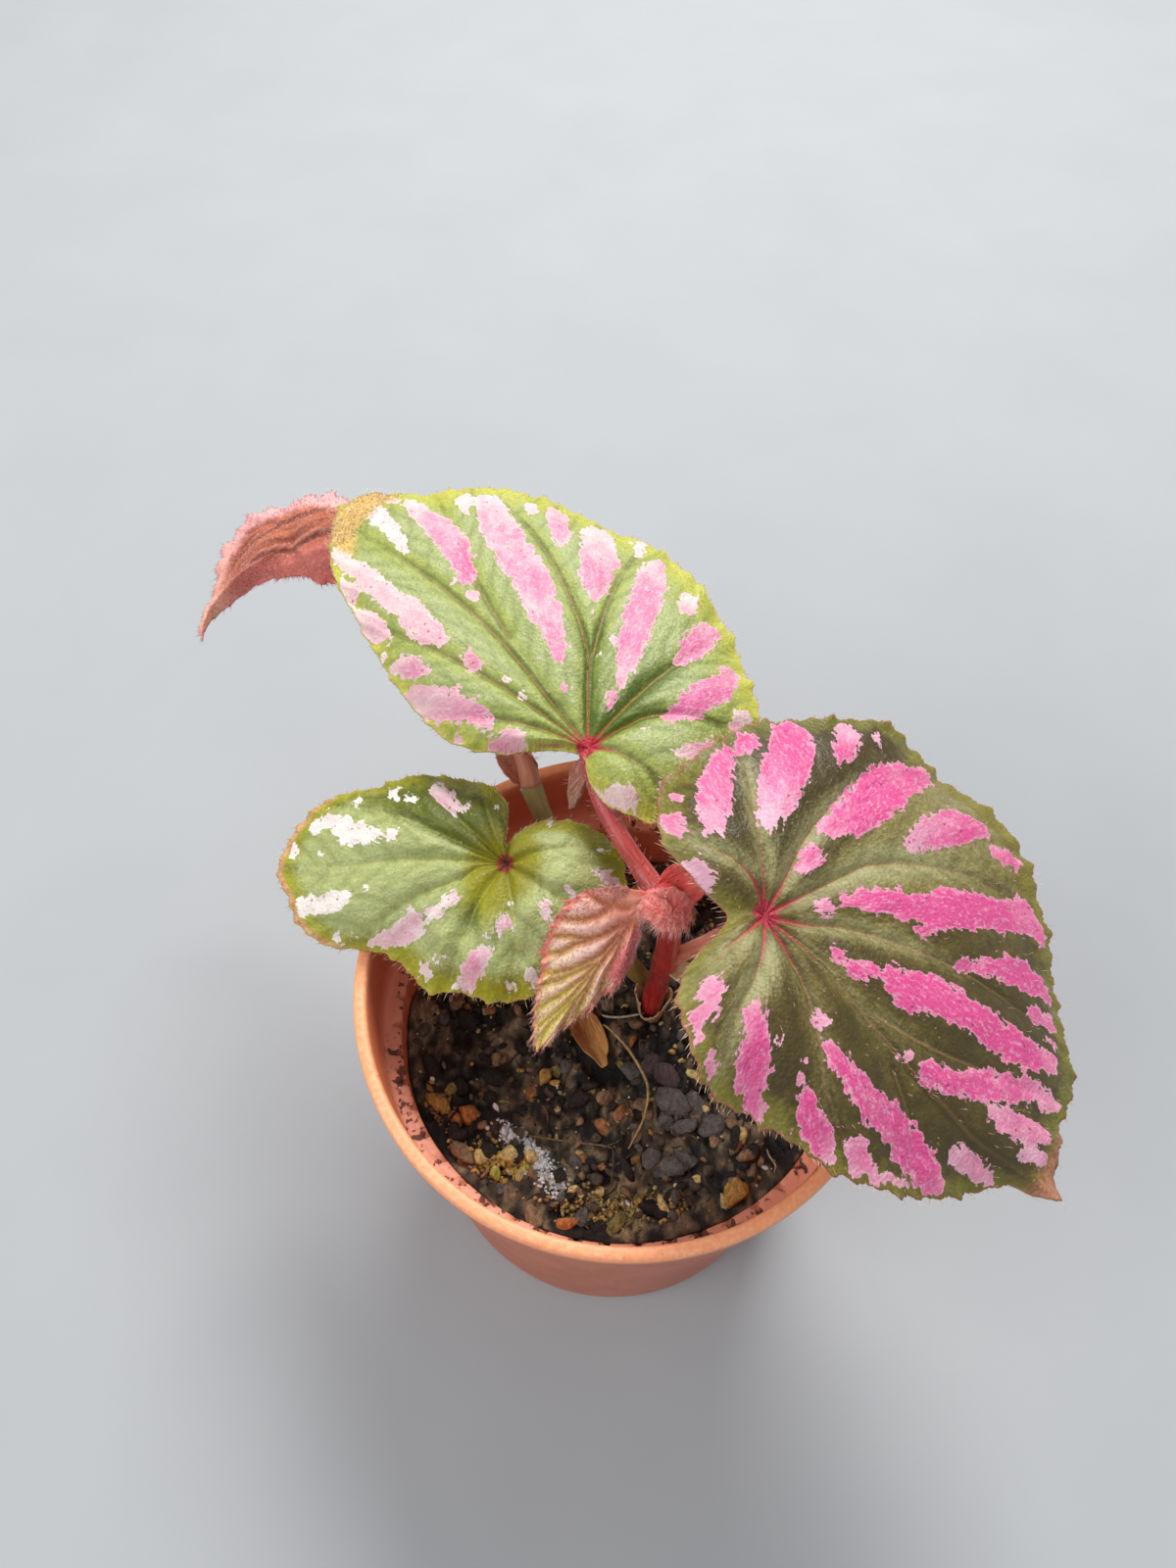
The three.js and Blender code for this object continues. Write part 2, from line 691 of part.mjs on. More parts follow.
const bladeFrames = Object.fromEntries(
  Object.entries(LEAVES).map(([name, leaf]) => [name, placing(leaf)]),
);
const grownBlades = Object.fromEntries(
  Object.entries(LEAVES).map(([name, leaf]) => [name, solidOf(blade(leaf, GAP), bladeFrames[name])]),
);
const grownStems = Object.fromEntries(
  Object.entries(STEMS).map(([name, stem]) => [name, solidOf(stalk(stem.path, GAP))]),
);
// What each stem is seated on, and the blade that it carries.
const SEATS = {
  main_stem: [],
  side_cane: ["main_stem"],
  petiole_right: ["main_stem", "leaf_right"],
  petiole_left: ["side_cane", "main_stem", "leaf_left"],
  petiole_back: ["main_stem", "leaf_back"],
  petiole_drooping: ["side_cane", "leaf_drooping"],
  petiole_young: ["main_stem", "petiole_back", "leaf_young"],
};

const plant = new THREE.Group();
const grown = { ...grownBlades, ...grownStems };

for (const [name, stem] of Object.entries(STEMS)) {
  const seats = SEATS[name].map((seat) => grown[seat]);
  plant.add(piece(name, stem.colour, geometryOf(cut(solidOf(stalk(stem.path)), ...seats)), 0.45));
}

for (const [name, leaf] of Object.entries(LEAVES)) {
  const mesh = piece(name, leaf.colour, blade(leaf));
  bladeFrames[name].decompose(mesh.position, mesh.quaternion, mesh.scale);
  plant.add(mesh);
}

const budSolid = cut(
  solidOf(bud()),
  grown.main_stem,
  grown.petiole_back,
  grown.petiole_young,
  grown.leaf_young,
);
plant.add(piece("shoot_tip", 0xd4566a, geometryOf(budSolid), 0.7));

const sheathSolid = cut(
  solidOf(sheath(STEMS.main_stem)),
  grown.main_stem,
  grown.side_cane,
  grown.petiole_left,
);
plant.add(piece("stem_sheath", 0xb08a58, geometryOf(sheathSolid), 0.8));

const everyStem = Object.values(grownStems);
const grownBud = solidOf(bud(GAP));
const loose = {};
for (const [name, scale] of Object.entries(BRACTS)) {
  const frame = placing(scale);
  const solid = cut(solidOf(bract(scale), frame), ...everyStem, grownBud, grown.leaf_young, grown.leaf_back);
  loose[name] = solidOf(bract(scale, GAP), frame);
  plant.add(piece(name, scale.colour, geometryOf(solid), 0.75));
}

const stemFeet = [STEMS.main_stem.path[1], STEMS.side_cane.path[1]];
const mix = cut(
  soil(stemFeet),
  grown.main_stem,
  grown.side_cane,
  grown.petiole_left,
  solidOf(sheath(STEMS.main_stem, GAP)),
  loose.stipule_brown,
);

const container = new THREE.Group();
container.add(piece("pot", 0xb1523a, geometryOf(pot()), 0.5));
container.add(piece("soil", 0x2a211c, geometryOf(mix), 0.95));

const begonia = new THREE.Group();
begonia.add(container, plant);

export default begonia;
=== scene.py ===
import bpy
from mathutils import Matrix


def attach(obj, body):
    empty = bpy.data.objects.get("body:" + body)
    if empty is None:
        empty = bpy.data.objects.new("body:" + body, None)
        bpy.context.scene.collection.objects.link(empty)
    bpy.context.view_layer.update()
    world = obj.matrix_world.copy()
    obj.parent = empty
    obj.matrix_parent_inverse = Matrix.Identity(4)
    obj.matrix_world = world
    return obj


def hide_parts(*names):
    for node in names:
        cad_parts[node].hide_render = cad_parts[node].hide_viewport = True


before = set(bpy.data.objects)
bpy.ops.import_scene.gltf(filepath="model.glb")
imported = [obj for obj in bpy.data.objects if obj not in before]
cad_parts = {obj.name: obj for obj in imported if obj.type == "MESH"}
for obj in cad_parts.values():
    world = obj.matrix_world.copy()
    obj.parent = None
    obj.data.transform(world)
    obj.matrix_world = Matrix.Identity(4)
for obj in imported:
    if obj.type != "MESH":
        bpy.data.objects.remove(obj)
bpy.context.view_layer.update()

import math
from types import SimpleNamespace

import bmesh
import bpy
import numpy as np
from mathutils import Matrix, Vector

# A young potted begonia, dressed over its solids. Lengths are in millimetres until a mesh is made.

# The pot and its mix, as in the solids.
POT = dict(height=79, lip=45, lip_width=2.2, lip_height=2.8, collar_top=43.6, collar_bottom=43,
           ledge=62.3, ledge_thick=1.3, body_top=40, base=36.8, wall=1, floor=1.2, around=288)
NOTCH = dict(count=48, depth=1.2)
DRAIN = dict(count=8, radius=3.5, ring=26)
SOIL = dict(level=56.3, slope=0.13, ripple=0.9, ceiling=61.6)
# How far from the middle grains may lie.
MIX_REACH = 38

# Margin teeth, as in the solids: every third one is large.
TOOTH = dict(small=0.7, large=1.5, every=3, clear=8)

# The view of the photograph: the camera's place and tilt, with its focal length in pixels.
CAMERA = dict(place=(-7.0, -78.5, 254.0), pitch=56.3, roll=1.6, focal=1155, wide=1200, high=1600)

# Leaves: frame and relief as in the solids, outlines close to them. Outline points are (angle, radius).
# A vein is (radius where it starts to show, [(angle, radius), ...]).
# A stroke is a patch of pink as a tapering line of points given in the 1200 by 1600 photograph:
# (pixels across, pixels down, half width in pixels, tone).
# A drip is a drawn-out tip: the angle where it is, its length, and its width as an angle.
LEAVES = {
    "leaf_back": dict(
        base=(-7.2, 27, 106), heading=134.1, rise=3.5, roll=-1.8, sectors=64, dome=3, fall=3,
        tip_fall=1.6, wave=0.9, waves=9, puff=1.15, pucker=0.18, teeth=0.55, rings=60, seed=11,
        outline=[
            (-179, 16.2), (-163, 19), (-146, 22), (-128, 26.3), (-115, 29.9), (-101, 31.7),
            (-90, 35), (-79, 38.2), (-68, 42.2), (-57, 47.1), (-48, 49.5), (-40, 53.4), (-31, 58),
            (-23, 61.6), (-14, 65.6), (-8, 70.7), (-3, 71.7), (2, 66.4), (7, 59.8), (13, 48.6),
            (20, 39), (28, 31.1), (38, 23.8), (43, 20.1), (48, 13.3), (51, 5.7), (88, 1.8),
            (126, 2.2), (134, 4.1), (140, 6.1), (148, 7.8), (155, 9.4), (164, 11.5), (172, 13.8)],
        veins=[
            (2, [(-153, 4), (-165, 14)]), (2, [(-105, 10), (-120, 22)]), (2, [(-84, 5), (-87, 34)]),
            (17, [(-45.5, 4), (-45, 16), (-47, 21), (-55, 45)]),
            (2, [(-42, 4), (-43, 16), (-36, 30), (-26, 57)]),
            (24, [(-9.5, 4), (-9, 22), (-11, 34), (-16, 60)]),
            (2, [(-6, 4), (-6, 24), (-1, 60)]), (2, [(11, 4), (13, 40)]), (2, [(30, 4), (32, 17)])],
        strokes=[
            [(375, 514, 7, .1), (390, 531, 8, .1), (405, 550, 7, .15), (415, 563, 2, .2)],
            [(420, 514, 7, .3), (441, 531, 11, .5), (459, 552, 13, .7), (471, 573, 11, .8),
             (477, 592, 7, .9)], [(481, 609, 7, .6)],
            [(499, 516, 11, .35), (507, 537, 15, .5), (525, 567, 18, .65), (543, 597, 17, .7),
             (555, 624, 16, .6), (565, 648, 12, .7), (570, 673, 8, .8)], [(576, 704, 5, .7)],
            [(474, 511, 7, .3), (475, 522, 4, .4)], [(540, 519, 5, .2), (543, 527, 4, .3)],
            [(568, 529, 9, .4), (572, 546, 8, .6), (573, 559, 4, .5)],
            [(610, 547, 13, .3), (612, 573, 16, .6), (607, 597, 13, .7), (606, 609, 6, .6)],
            [(652, 555, 4, .2), (654, 565, 4, .2)],
            [(667, 579, 9, .5), (664, 600, 14, .7), (652, 630, 15, .8), (645, 657, 13, .9),
             (639, 684, 11, .6), (633, 703, 4, .5)], [(625, 714, 6, .8), (621, 724, 4, .8)],
            [(703, 616, 9, .2), (700, 624, 7, .4)],
            [(723, 645, 11, .6), (708, 660, 13, .9), (693, 675, 7, .8)],
            [(745, 690, 10, .7), (732, 705, 13, .9), (708, 720, 14, 1), (684, 733, 8, .8)],
            [(757, 735, 9, .3), (750, 744, 6, .5)],
            [(732, 762, 8, .6), (711, 768, 8, .5), (693, 772, 7, .3)],
            [(601, 808, 4, 0), (618, 816, 9, .1), (639, 817, 13, .25), (646, 825, 6, .2)],
            [(681, 801, 6, .6), (678, 811, 4, .7)],
            [(345, 567, 6, .1), (363, 583, 8, .2), (381, 597, 10, .3), (399, 612, 11, .3),
             (420, 627, 13, .4), (435, 645, 14, .5), (450, 654, 7, .4)],
            [(351, 597, 4, .1), (360, 610, 8, .2)],
            [(366, 627, 5, .1), (381, 643, 11, .3), (397, 652, 5, .3)],
            [(477, 672, 7, .7), (484, 681, 8, .7)],
            [(406, 678, 7, .3), (420, 684, 11, .6), (435, 687, 5, .5)],
            [(420, 708, 8, .5), (441, 717, 14, .5), (459, 720, 14, .6), (480, 727, 10, .7),
             (498, 738, 7, .6)], [(468, 753, 5, .6)], [(502, 760, 6, .7), (522, 766, 8, .5)],
            [(514, 695, 4, .1)], [(532, 711, 3, 0)], [(549, 673, 4, .4)], [(615, 670, 3, .3)],
            [(625, 655, 4, .5)], [(604, 626, 3, .5)], [(658, 746, 2, .2)], [(462, 595, 3, .3)],
            [(391, 672, 4, 0)], [(399, 508, 5, .3)]]),
    "leaf_right": dict(
        base=(18, -5.3, 112), heading=-37.3, rise=-21.6, roll=-4.5, sectors=64, dome=3, fall=3,
        tip_fall=1.4, wave=1, waves=8, puff=1.2, pucker=0.18, teeth=0.8, rings=60, seed=12,
        drip=dict(angle=2.2, length=4.4, width=1.9),
        outline=[
            (-134, 5.5), (-117, 7.5), (-104, 13), (-91, 17.6), (-77, 22.9), (-63, 25.7), (-55, 26.3),
            (-44, 29.6), (-35, 34.3), (-26, 38.6), (-16, 43.9), (-9, 47.4), (-2, 51.5), (5, 57),
            (11, 55.1), (19, 56.5), (25, 54.6), (34, 53.6), (49, 52), (62, 51.4), (70, 49),
            (79, 45.7), (87, 45.4), (93, 44.4), (101, 39.9), (111, 35.6), (125, 32.2), (138, 27.8),
            (159, 23.8), (169, 21.7), (182, 17.3), (194, 11.1), (204, 7.7)],
        veins=[
            (2, [(-101, 8), (-95, 16)]), (2, [(-64, 4), (-72, 14), (-68, 25)]),
            (2, [(-26, 10), (-34, 24), (-31, 31)]), (27, [(-1, 4), (-8.5, 20), (-9, 27), (-16, 41)]),
            (2, [(2, 4), (-5, 20), (-5, 28), (-3, 42), (2, 55)]),
            (20, [(5.5, 4), (-1.5, 19), (8, 36), (15, 54)]), (2, [(29, 4), (35, 11), (26, 44), (24, 53)]),
            (2, [(68, 5), (68, 18), (58, 32), (48, 50)]), (2, [(98, 4), (101, 12), (93, 28), (86, 42)]),
            (2, [(136, 6), (136, 14), (133, 23)]), (2, [(154, 3), (178, 14)])],
        strokes=[
            [(741, 769, 8, .9), (731, 793, 14, .9), (727, 817, 17, .7), (727, 841, 12, .4),
             (731, 850, 5, .2)], [(764, 755, 10, .9), (758, 762, 8, .8)],
            [(807, 748, 14, .9), (805, 769, 19, .9), (796, 796, 20, .8), (788, 821, 17, .5),
             (783, 836, 12, .2)], [(862, 752, 12, .5), (857, 769, 10, .8), (851, 783, 4, .8)],
            [(892, 757, 6, .3)],
            [(946, 793, 8, .7), (925, 793, 14, .8), (901, 803, 21, .95), (884, 821, 21, 1),
             (863, 838, 17, .9), (843, 848, 10, .7)], [(826, 876, 12, .7), (815, 888, 6, .5)],
            [(998, 848, 8, .8), (974, 846, 16, .8), (946, 852, 15, .7), (925, 862, 8, .4)],
            [(1012, 872, 7, .7), (1029, 881, 8, .8)], [(690, 814, 5, .6)],
            [(686, 838, 10, .6), (693, 852, 6, .5)],
            [(702, 886, 12, .3), (715, 896, 12, .3), (712, 910, 10, .2), (719, 924, 6, .1)],
            [(838, 927, 9, .6)],
            [(857, 920, 6, .8), (884, 920, 12, .9), (912, 924, 14, .95), (936, 931, 14, 1),
             (960, 929, 20, 1), (987, 931, 17, 1), (1015, 934, 15, .95), (1043, 934, 14, .7),
             (1056, 948, 8, .7), (1063, 962, 4, .7)], [(936, 951, 6, 1), (960, 941, 8, 1)],
            [(851, 975, 8, .8)], [(870, 991, 10, .9), (884, 993, 7, .9)],
            [(905, 1000, 12, 1), (922, 1013, 20, 1), (950, 1017, 19, 1), (977, 1031, 17, 1),
             (1001, 1048, 17, 1), (1025, 1065, 17, .95), (1049, 1077, 14, .9), (1070, 1086, 9, .7)],
            [(981, 986, 8, .9), (994, 986, 5, .9), (1022, 989, 12, .9), (1046, 996, 15, .9),
             (1063, 1006, 10, .9), (1074, 1017, 6, .7)], [(1056, 1036, 8, .8), (1074, 1046, 6, .7)],
            [(1068, 1062, 3, .7), (1077, 1068, 3, .7)], [(922, 1079, 6, .5)],
            [(943, 1096, 11, .9), (970, 1106, 12, .9), (1001, 1108, 14, .9), (1029, 1113, 12, .8),
             (1053, 1113, 10, .5), (1070, 1127, 9, .5)],
            [(1012, 1139, 12, .5), (1036, 1151, 12, .6), (1060, 1161, 8, .4)], [(833, 1044, 10, .4)],
            [(845, 1072, 9, .8), (857, 1089, 12, .9), (870, 1110, 12, .9), (888, 1130, 19, .9),
             (912, 1148, 19, .9), (929, 1172, 19, .9), (946, 1192, 17, .8), (956, 1210, 10, .6)],
            [(819, 1120, 10, .9), (822, 1141, 16, .9), (836, 1165, 15, .8), (843, 1182, 7, .5)],
            [(870, 1168, 10, .5), (879, 1189, 11, .6), (891, 1203, 7, .5)],
            [(767, 1031, 10, .6), (769, 1058, 12, .8), (767, 1082, 17, .9), (767, 1106, 14, .9),
             (771, 1127, 10, .8), (777, 1141, 5, .5)],
            [(726, 1006, 9, .5), (719, 1027, 10, .5), (710, 1048, 6, .6), (707, 1062, 4, .6)],
            [(723, 1079, 7, .6), (722, 1094, 6, .6)], [(788, 1061, 5, .4)], [(818, 1085, 3, .5)],
            [(814, 1101, 3, .5)], [(977, 1179, 10, .4), (994, 1192, 10, .5), (1008, 1203, 6, .4)],
            [(905, 1201, 7, .4), (925, 1210, 5, .4)], [(1039, 1179, 7, .3), (1060, 1182, 6, .3)]]),
    "leaf_left": dict(
        base=(-19.9, 12.7, 93), heading=177, rise=-10.4, roll=-20.9, sectors=52, dome=2.6, fall=3,
        tip_fall=1.2, wave=0.7, waves=7, puff=0.9, pucker=0.38, teeth=0.45, rings=60, seed=13,
        outline=[
            (-91, 3.2), (-87, 10), (-73, 14.5), (-57, 18.2), (-44, 22.8), (-31, 27.4), (-24, 32.7),
            (-18, 36.8), (-11, 39.3), (-5, 41.1), (1, 41.5), (7, 39), (14, 37.6), (22, 33.8),
            (28, 28.5), (36, 24.7), (47, 24), (57, 24.1), (68, 21.9), (84, 21.9), (102, 21.2),
            (121, 19.5), (138, 19.3), (155, 19.3), (168, 19.6), (187, 18), (206, 14.5), (229, 9.7),
            (242, 7.4), (254, 5.2)],
        veins=[
            (2, [(-72, 4), (-69, 13)]), (2, [(-45, 4), (-41, 21)]),
            (2, [(-23, 4), (-25, 17), (-19, 34)]), (2, [(-6, 4), (0, 27), (-1, 38)]),
            (2, [(8, 4), (20, 7), (20, 15), (26, 27)]), (2, [(57, 4), (65, 22)]),
            (2, [(104, 6), (93, 20)]), (2, [(150, 4), (148, 13)]), (2, [(196, 4), (189, 18)])],
        strokes=[
            [(322, 843, 7, .1), (337, 838, 7, .1), (352, 843, 11, .1), (353, 857, 6, .1),
             (369, 852, 11, .1), (384, 852, 8, .1)], [(403, 852, 7, .05)], [(300, 867, 6, .1)],
            [(311, 927, 9, 0), (330, 924, 9, .05), (347, 919, 9, .05), (357, 915, 6, .05)],
            [(377, 963, 4, .4), (394, 959, 8, .5), (409, 954, 11, .5), (422, 944, 12, .4),
             (419, 932, 7, .4)], [(442, 933, 8, .3), (452, 925, 6, .35), (464, 914, 6, .45)],
            [(443, 804, 5, .3), (454, 812, 9, .6), (461, 821, 7, .5), (470, 827, 5, .4),
             (478, 825, 3, .3)], [(402, 811, 6, .2), (406, 815, 4, .2)], [(419, 816, 5, .15)],
            [(366, 817, 4, .1)], [(335, 823, 2, .1)], [(345, 958, 5, .1)], [(434, 991, 8, .4)],
            [(476, 1003, 9, .5), (486, 984, 12, .6), (496, 973, 8, .5)], [(448, 981, 3, .1)],
            [(458, 977, 2, .1)], [(498, 957, 3, .1)], [(520, 921, 2, .1)], [(327, 872, 2, 0)],
            [(378, 907, 2, 0)], [(360, 955, 2, 0)], [(508, 825, 2, 0)],
            [(511, 949, 5, .5), (517, 942, 8, .5)], [(558, 924, 6, .4), (560, 935, 4, .4)],
            [(612, 889, 5, .3), (619, 897, 8, .4), (626, 899, 5, .4)],
            [(582, 907, 4, .3), (586, 912, 3, .3)], [(541, 996, 8, .3), (544, 1003, 5, .3)],
            [(522, 1005, 5, .1)], [(466, 1006, 4, .1)], [(613, 867, 3, .05)], [(621, 868, 2, .05)],
            [(563, 839, 4, 0)]]),
    "leaf_drooping": dict(
        base=(-65.9, 82.8, 94.4), heading=196.5, rise=-30.6, roll=-10, sectors=32, dome=3, fall=2,
        tip_fall=2, wave=0.6, waves=5, puff=0, pucker=0.1, teeth=1.15, rings=40, seed=14,
        outline=[
            (-157, 11.6), (-124, 9.6), (-94, 9.3), (-69, 11.3), (-54, 13.6), (-39, 15.6),
            (-21, 18.7), (-6.5, 21.9), (3.6, 25.9), (11, 28.2), (14, 24), (16, 17), (24, 11), (45, 7.8),
            (91, 8.2), (112, 13), (133, 16), (152, 17.4), (170, 15.8), (187, 13.4)],
        veins=[], strokes=[]),
    "leaf_young": dict(
        base=(1.7, 2.8, 101), heading=-127.3, rise=-31.9, roll=-32, sectors=46, dome=0.8, fall=1,
        tip_fall=0.8, wave=0, waves=0, puff=0, pucker=0.08, teeth=0.9, rings=52, seed=15,
        outline=[
            (-107, 2), (-89, 3.9), (-69, 7.6), (-55, 11), (-42, 13.5), (-31, 16.3), (-21, 18.6),
            (-15, 21.2), (-8, 24.9), (-1, 28.6), (3, 23.4), (8, 20.2), (12, 16.6), (18, 14),
            (24, 10.5), (29, 6.4), (39, 3.4), (70, 1.6), (140, 1.3), (200, 1.3)],
        veins=[], strokes=[]),
}

# The folds of the young leaf, as lines of (x, y) on the blade: its midrib first.
YOUNG_FOLDS = [
    [(1, 0.6), (3, 0.8), (7.3, 0.5), (10.4, 0.1), (13.6, 0), (16, 0.4), (18.7, -0.1), (21.5, -0.7),
     (24.2, -1.1), (27.4, -0.8), (28.7, -0.1)],
    [(2.5, -3.2), (5.3, -4.2), (7.1, -5.9), (8.6, -8.1), (9.4, -10.2)],
    [(2.2, -1.0), (3.4, -5.0), (3.6, -8.6)],
    [(3.5, 0.9), (5.4, -0.8), (7.7, -2.2), (9.2, -3.6), (10.4, -6.2), (11.9, -8.5), (12.6, -10)],
    [(9.1, -3.2), (11.2, -5.0), (13.1, -5.8), (14.8, -7.6), (15.4, -8.6)],
    [(6.6, 0), (10.1, -0.6), (12.5, -1.9), (14.8, -3.3), (16.4, -4.9), (18.0, -6.8)],
    [(12.5, -1.0), (14.7, -2.4), (16.9, -3.7), (18.2, -4.7), (20, -5.9)],
    [(11.9, -0.4), (14.8, -0.9), (17.3, -1.8), (19.3, -2.4), (21, -3.2), (23.2, -4.2)],
    [(14.5, -0.4), (17.8, -0.7), (20.2, -1.0), (22.7, -1.6), (25.4, -2.4)],
    [(5.8, 0.5), (9.6, 1.5), (12.2, 1.6), (14.5, 2.2), (17.6, 3.6)],
    [(3, 0.9), (5.4, 2.2), (8.4, 3.4), (11.4, 4.6)], [(2, 1), (3.4, 2.6), (5.2, 4.6)],
    [(14.2, 0.1), (17, 0.8), (19.2, 1.2), (21.4, 2)], [(18.6, 0.1), (21.1, 0.2), (23.9, 0.8)],
]

# The drooping leaf. Its inner half is drawn in to the axis by a share, the tail by one more. Its outer
# margin is lifted and the band inside that sunk, in millimetres. Pleats and crease are shares of the width.
DROOP = dict(tuck=0.52, tail_tuck=0.33, lift=2.1, hollow=1.5, pleat=0.016, crease=0.026)

# The line (x, y) that the drooping leaf's folds follow, and half its width at shares along it.
DROOP_AXIS = [(-14, 3), (-8, 1.5), (-3, 0), (2.5, -1.7), (8, -2.7), (12.5, -2.4), (17.5, -0.9), (22, 0.9),
              (25, 2.9), (27.7, 5.2)]
DROOP_WIDTHS = [(0, 9), (0.2, 9.3), (0.4, 8), (0.6, 5.2), (0.75, 3.2), (0.9, 1.6), (1, 0.6)]

# Dimples of the left leaf: (x, y, depth, width). Sunk ones are painted darker and raised ones paler, as
# painted shade and light.
DIMPLES = [(5.6, 10.6, 1.0, 2.2), (-3.5, 14.6, 0.9, 1.9), (9.8, 12.8, -0.7, 2.2), (0.7, 18.6, -0.8, 2.0),
           (-7.6, 12.2, -0.5, 2.0), (5.2, 16.2, -0.6, 1.8), (14.5, 11.5, 0.6, 2.0), (21, 9.5, -0.5, 2.4)]

# Stems: points (x, y, z, radius), as in the solids.
STEMS = {
    "main_stem": [(6.4, 1.6, 40, 1.5), (5.8, 3.6, 57, 2), (6.6, 5.1, 66, 2), (7.2, 4.8, 75, 2.4),
                  (7.1, 4.4, 80, 2), (6.7, 3.7, 92, 2.1), (5.6, 4, 98, 2.5), (5.4, 3.6, 100.6, 2.2)],
    "side_cane": [(5.6, 9.8, 44, 1.3), (4.9, 8.2, 57, 1.6), (1.2, 9.7, 65, 1.5),
                  (-6.4, 16.7, 75, 1.5), (-14.5, 27.3, 84, 1.6), (-17.2, 32.3, 87, 2.1)],
    "petiole_right": [(7.4, 4.7, 76, 1.7), (8.9, 4.6, 77.4, 1.5), (11.9, 3.2, 84, 1.4),
                      (14.5, 0.9, 93, 1.35), (18, -4.8, 110.6, 1.4)],
    "petiole_left": [(3.6, 8.6, 59.6, 1.5), (-1.4, 9.2, 65.8, 1.3), (-6.2, 9.6, 72, 1.25),
                     (-14.8, 12.4, 82, 1.25), (-19.4, 12.8, 91.4, 1.4)],
    "petiole_back": [(5.4, 4.6, 96.4, 2), (1.9, 9.5, 98, 1.7), (-1, 13, 100.2, 1.5),
                     (-4.8, 19.3, 102.6, 1.45), (-7.1, 26.8, 104.9, 1.5)],
    "petiole_drooping": [(-17, 32, 87.4, 2), (-18.6, 35.6, 91, 1.6), (-23.8, 42.6, 94.4, 1.4),
                         (-34.5, 57.5, 96.8, 1.4), (-47, 74.3, 98.4, 1.3), (-53.2, 80.2, 99.2, 1.4)],
    "petiole_young": [(5.4, 3.9, 99.2, 1.8), (3.6, 3.6, 100.2, 1.4), (1.9, 3, 100.2, 1.2)],
}

# Bracts: small cupped blades placed as the leaves are.
BRACTS = {
    "stipule_shoot": dict(base=(8.4, 5.8, 101), heading=18, rise=38, roll=25, length=5, width=3.4,
                          cup=1.2),
    "stipule_cane": dict(base=(-19.6, 34.4, 91), heading=150, rise=52, roll=-30, length=5.2,
                         width=3, cup=1),
    "stipule_hanging": dict(base=(-8.2, 25.4, 99), heading=215, rise=-70, roll=15, length=5.4,
                            width=2.6, cup=0.9),
    "stipule_beige": dict(base=(10.6, 3, 74.2), heading=-28, rise=-12, roll=40, length=3.8,
                          width=2, cup=0.6),
    "stipule_brown": dict(base=(-6.2, -1.6, 57.6), heading=-62, rise=6, roll=-12, length=6.2,
                          width=3, cup=1.1),
}
BUD = dict(foot=(5.8, 3, 99.4), tip=(5.1, -3.2, 107), width=3.6, depth=2.9)
SHEATH = dict(bottom=54.4, top=60.4, inner=0.05, wall=0.3, flare=1.3, prongs=3)


# Numbers


def smooth(value, low, high):
    share = np.clip((np.asarray(value, float) - low) / (high - low), 0, 1)
    return share * share * (3 - 2 * share)


def bell(value, width):
    """One where the value is zero, falling away within about that width on both sides."""
    return np.exp(-((value / width) ** 2))


def polar(angle, radius):
    turn = np.radians(angle)
    return radius * np.cos(turn), radius * np.sin(turn)


def full_turn(count):
    """Angles at even steps round a full turn."""
    return 2 * math.pi * np.arange(count) / count


def ring(radius, turns, height):
    """Points round the Z axis."""
    return np.stack([radius * np.cos(turns), radius * np.sin(turns), height], axis=-1)


def unit(vectors):
    return vectors / np.linalg.norm(vectors, axis=1, keepdims=True)


def scatter(random, count, size):
    """Random offsets, at most half of that size each way."""
    return (random.random((count, 3)) - 0.5) * size


def ripple(x, y, cell, seed):
    """Smooth noise from -1 to 1 over a plane, in cells of that size."""
    table = np.random.default_rng(seed).random((64, 64)) * 2 - 1
    u, v = np.asarray(x, float) / cell, np.asarray(y, float) / cell
    i, j = np.floor(u).astype(int), np.floor(v).astype(int)
    f, g = u - i, v - j
    f, g = f * f * (3 - 2 * f), g * g * (3 - 2 * g)
    a, b = table[i % 64, j % 64], table[(i + 1) % 64, j % 64]
    c, d = table[i % 64, (j + 1) % 64], table[(i + 1) % 64, (j + 1) % 64]
    return (a * (1 - f) + b * f) * (1 - g) + (c * (1 - f) + d * f) * g


def curve_points(points, closed, per_span=24):
    """Close points on a centripetal Catmull-Rom curve, with their places counted in spans."""
    points = np.asarray(points, float)
    count = len(points)
    spans = count if closed else count - 1
    shares = np.arange(per_span) / per_span
    line, places = [], []
    for i in range(spans):
        b, c = points[i], points[(i + 1) % count]
        a = points[i - 1] if closed or i > 0 else 2 * b - c
        d = points[(i + 2) % count] if closed or i + 2 < count else 2 * c - b
        r, s, t = (max(np.linalg.norm(q - p), 1e-6) ** 0.5 for p, q in ((a, b), (b, c), (c, d)))
        leave = ((b - a) / r - (c - a) / (r + s) + (c - b) / s) * s
        reach = ((c - b) / s - (d - b) / (s + t) + (d - c) / t) * s
        h = shares[:, None]
        line.append((2 * h**3 - 3 * h**2 + 1) * b + (h**3 - 2 * h**2 + h) * leave
                    + (3 * h**2 - 2 * h**3) * c + (h**3 - h**2) * reach)
        places.append(i + shares)
    if not closed:
        line.append(points[-1:])
        places.append([count - 1])
    return np.vstack(line), np.concatenate(places)


def even_points(line, count, closed, places=None):
    """That many points at even steps along a line of close points, with their places."""
    loop = np.vstack([line, line[:1]]) if closed else line
    steps = np.linalg.norm(np.diff(loop, axis=0), axis=1)
    along = np.concatenate([[0], np.cumsum(steps)])
    wanted = np.linspace(0, along[-1], count, endpoint=not closed)
    even = np.stack([np.interp(wanted, along, loop[:, k]) for k in range(loop.shape[1])], axis=1)
    if places is None:
        return even, wanted
    return even, np.interp(wanted, along, places)


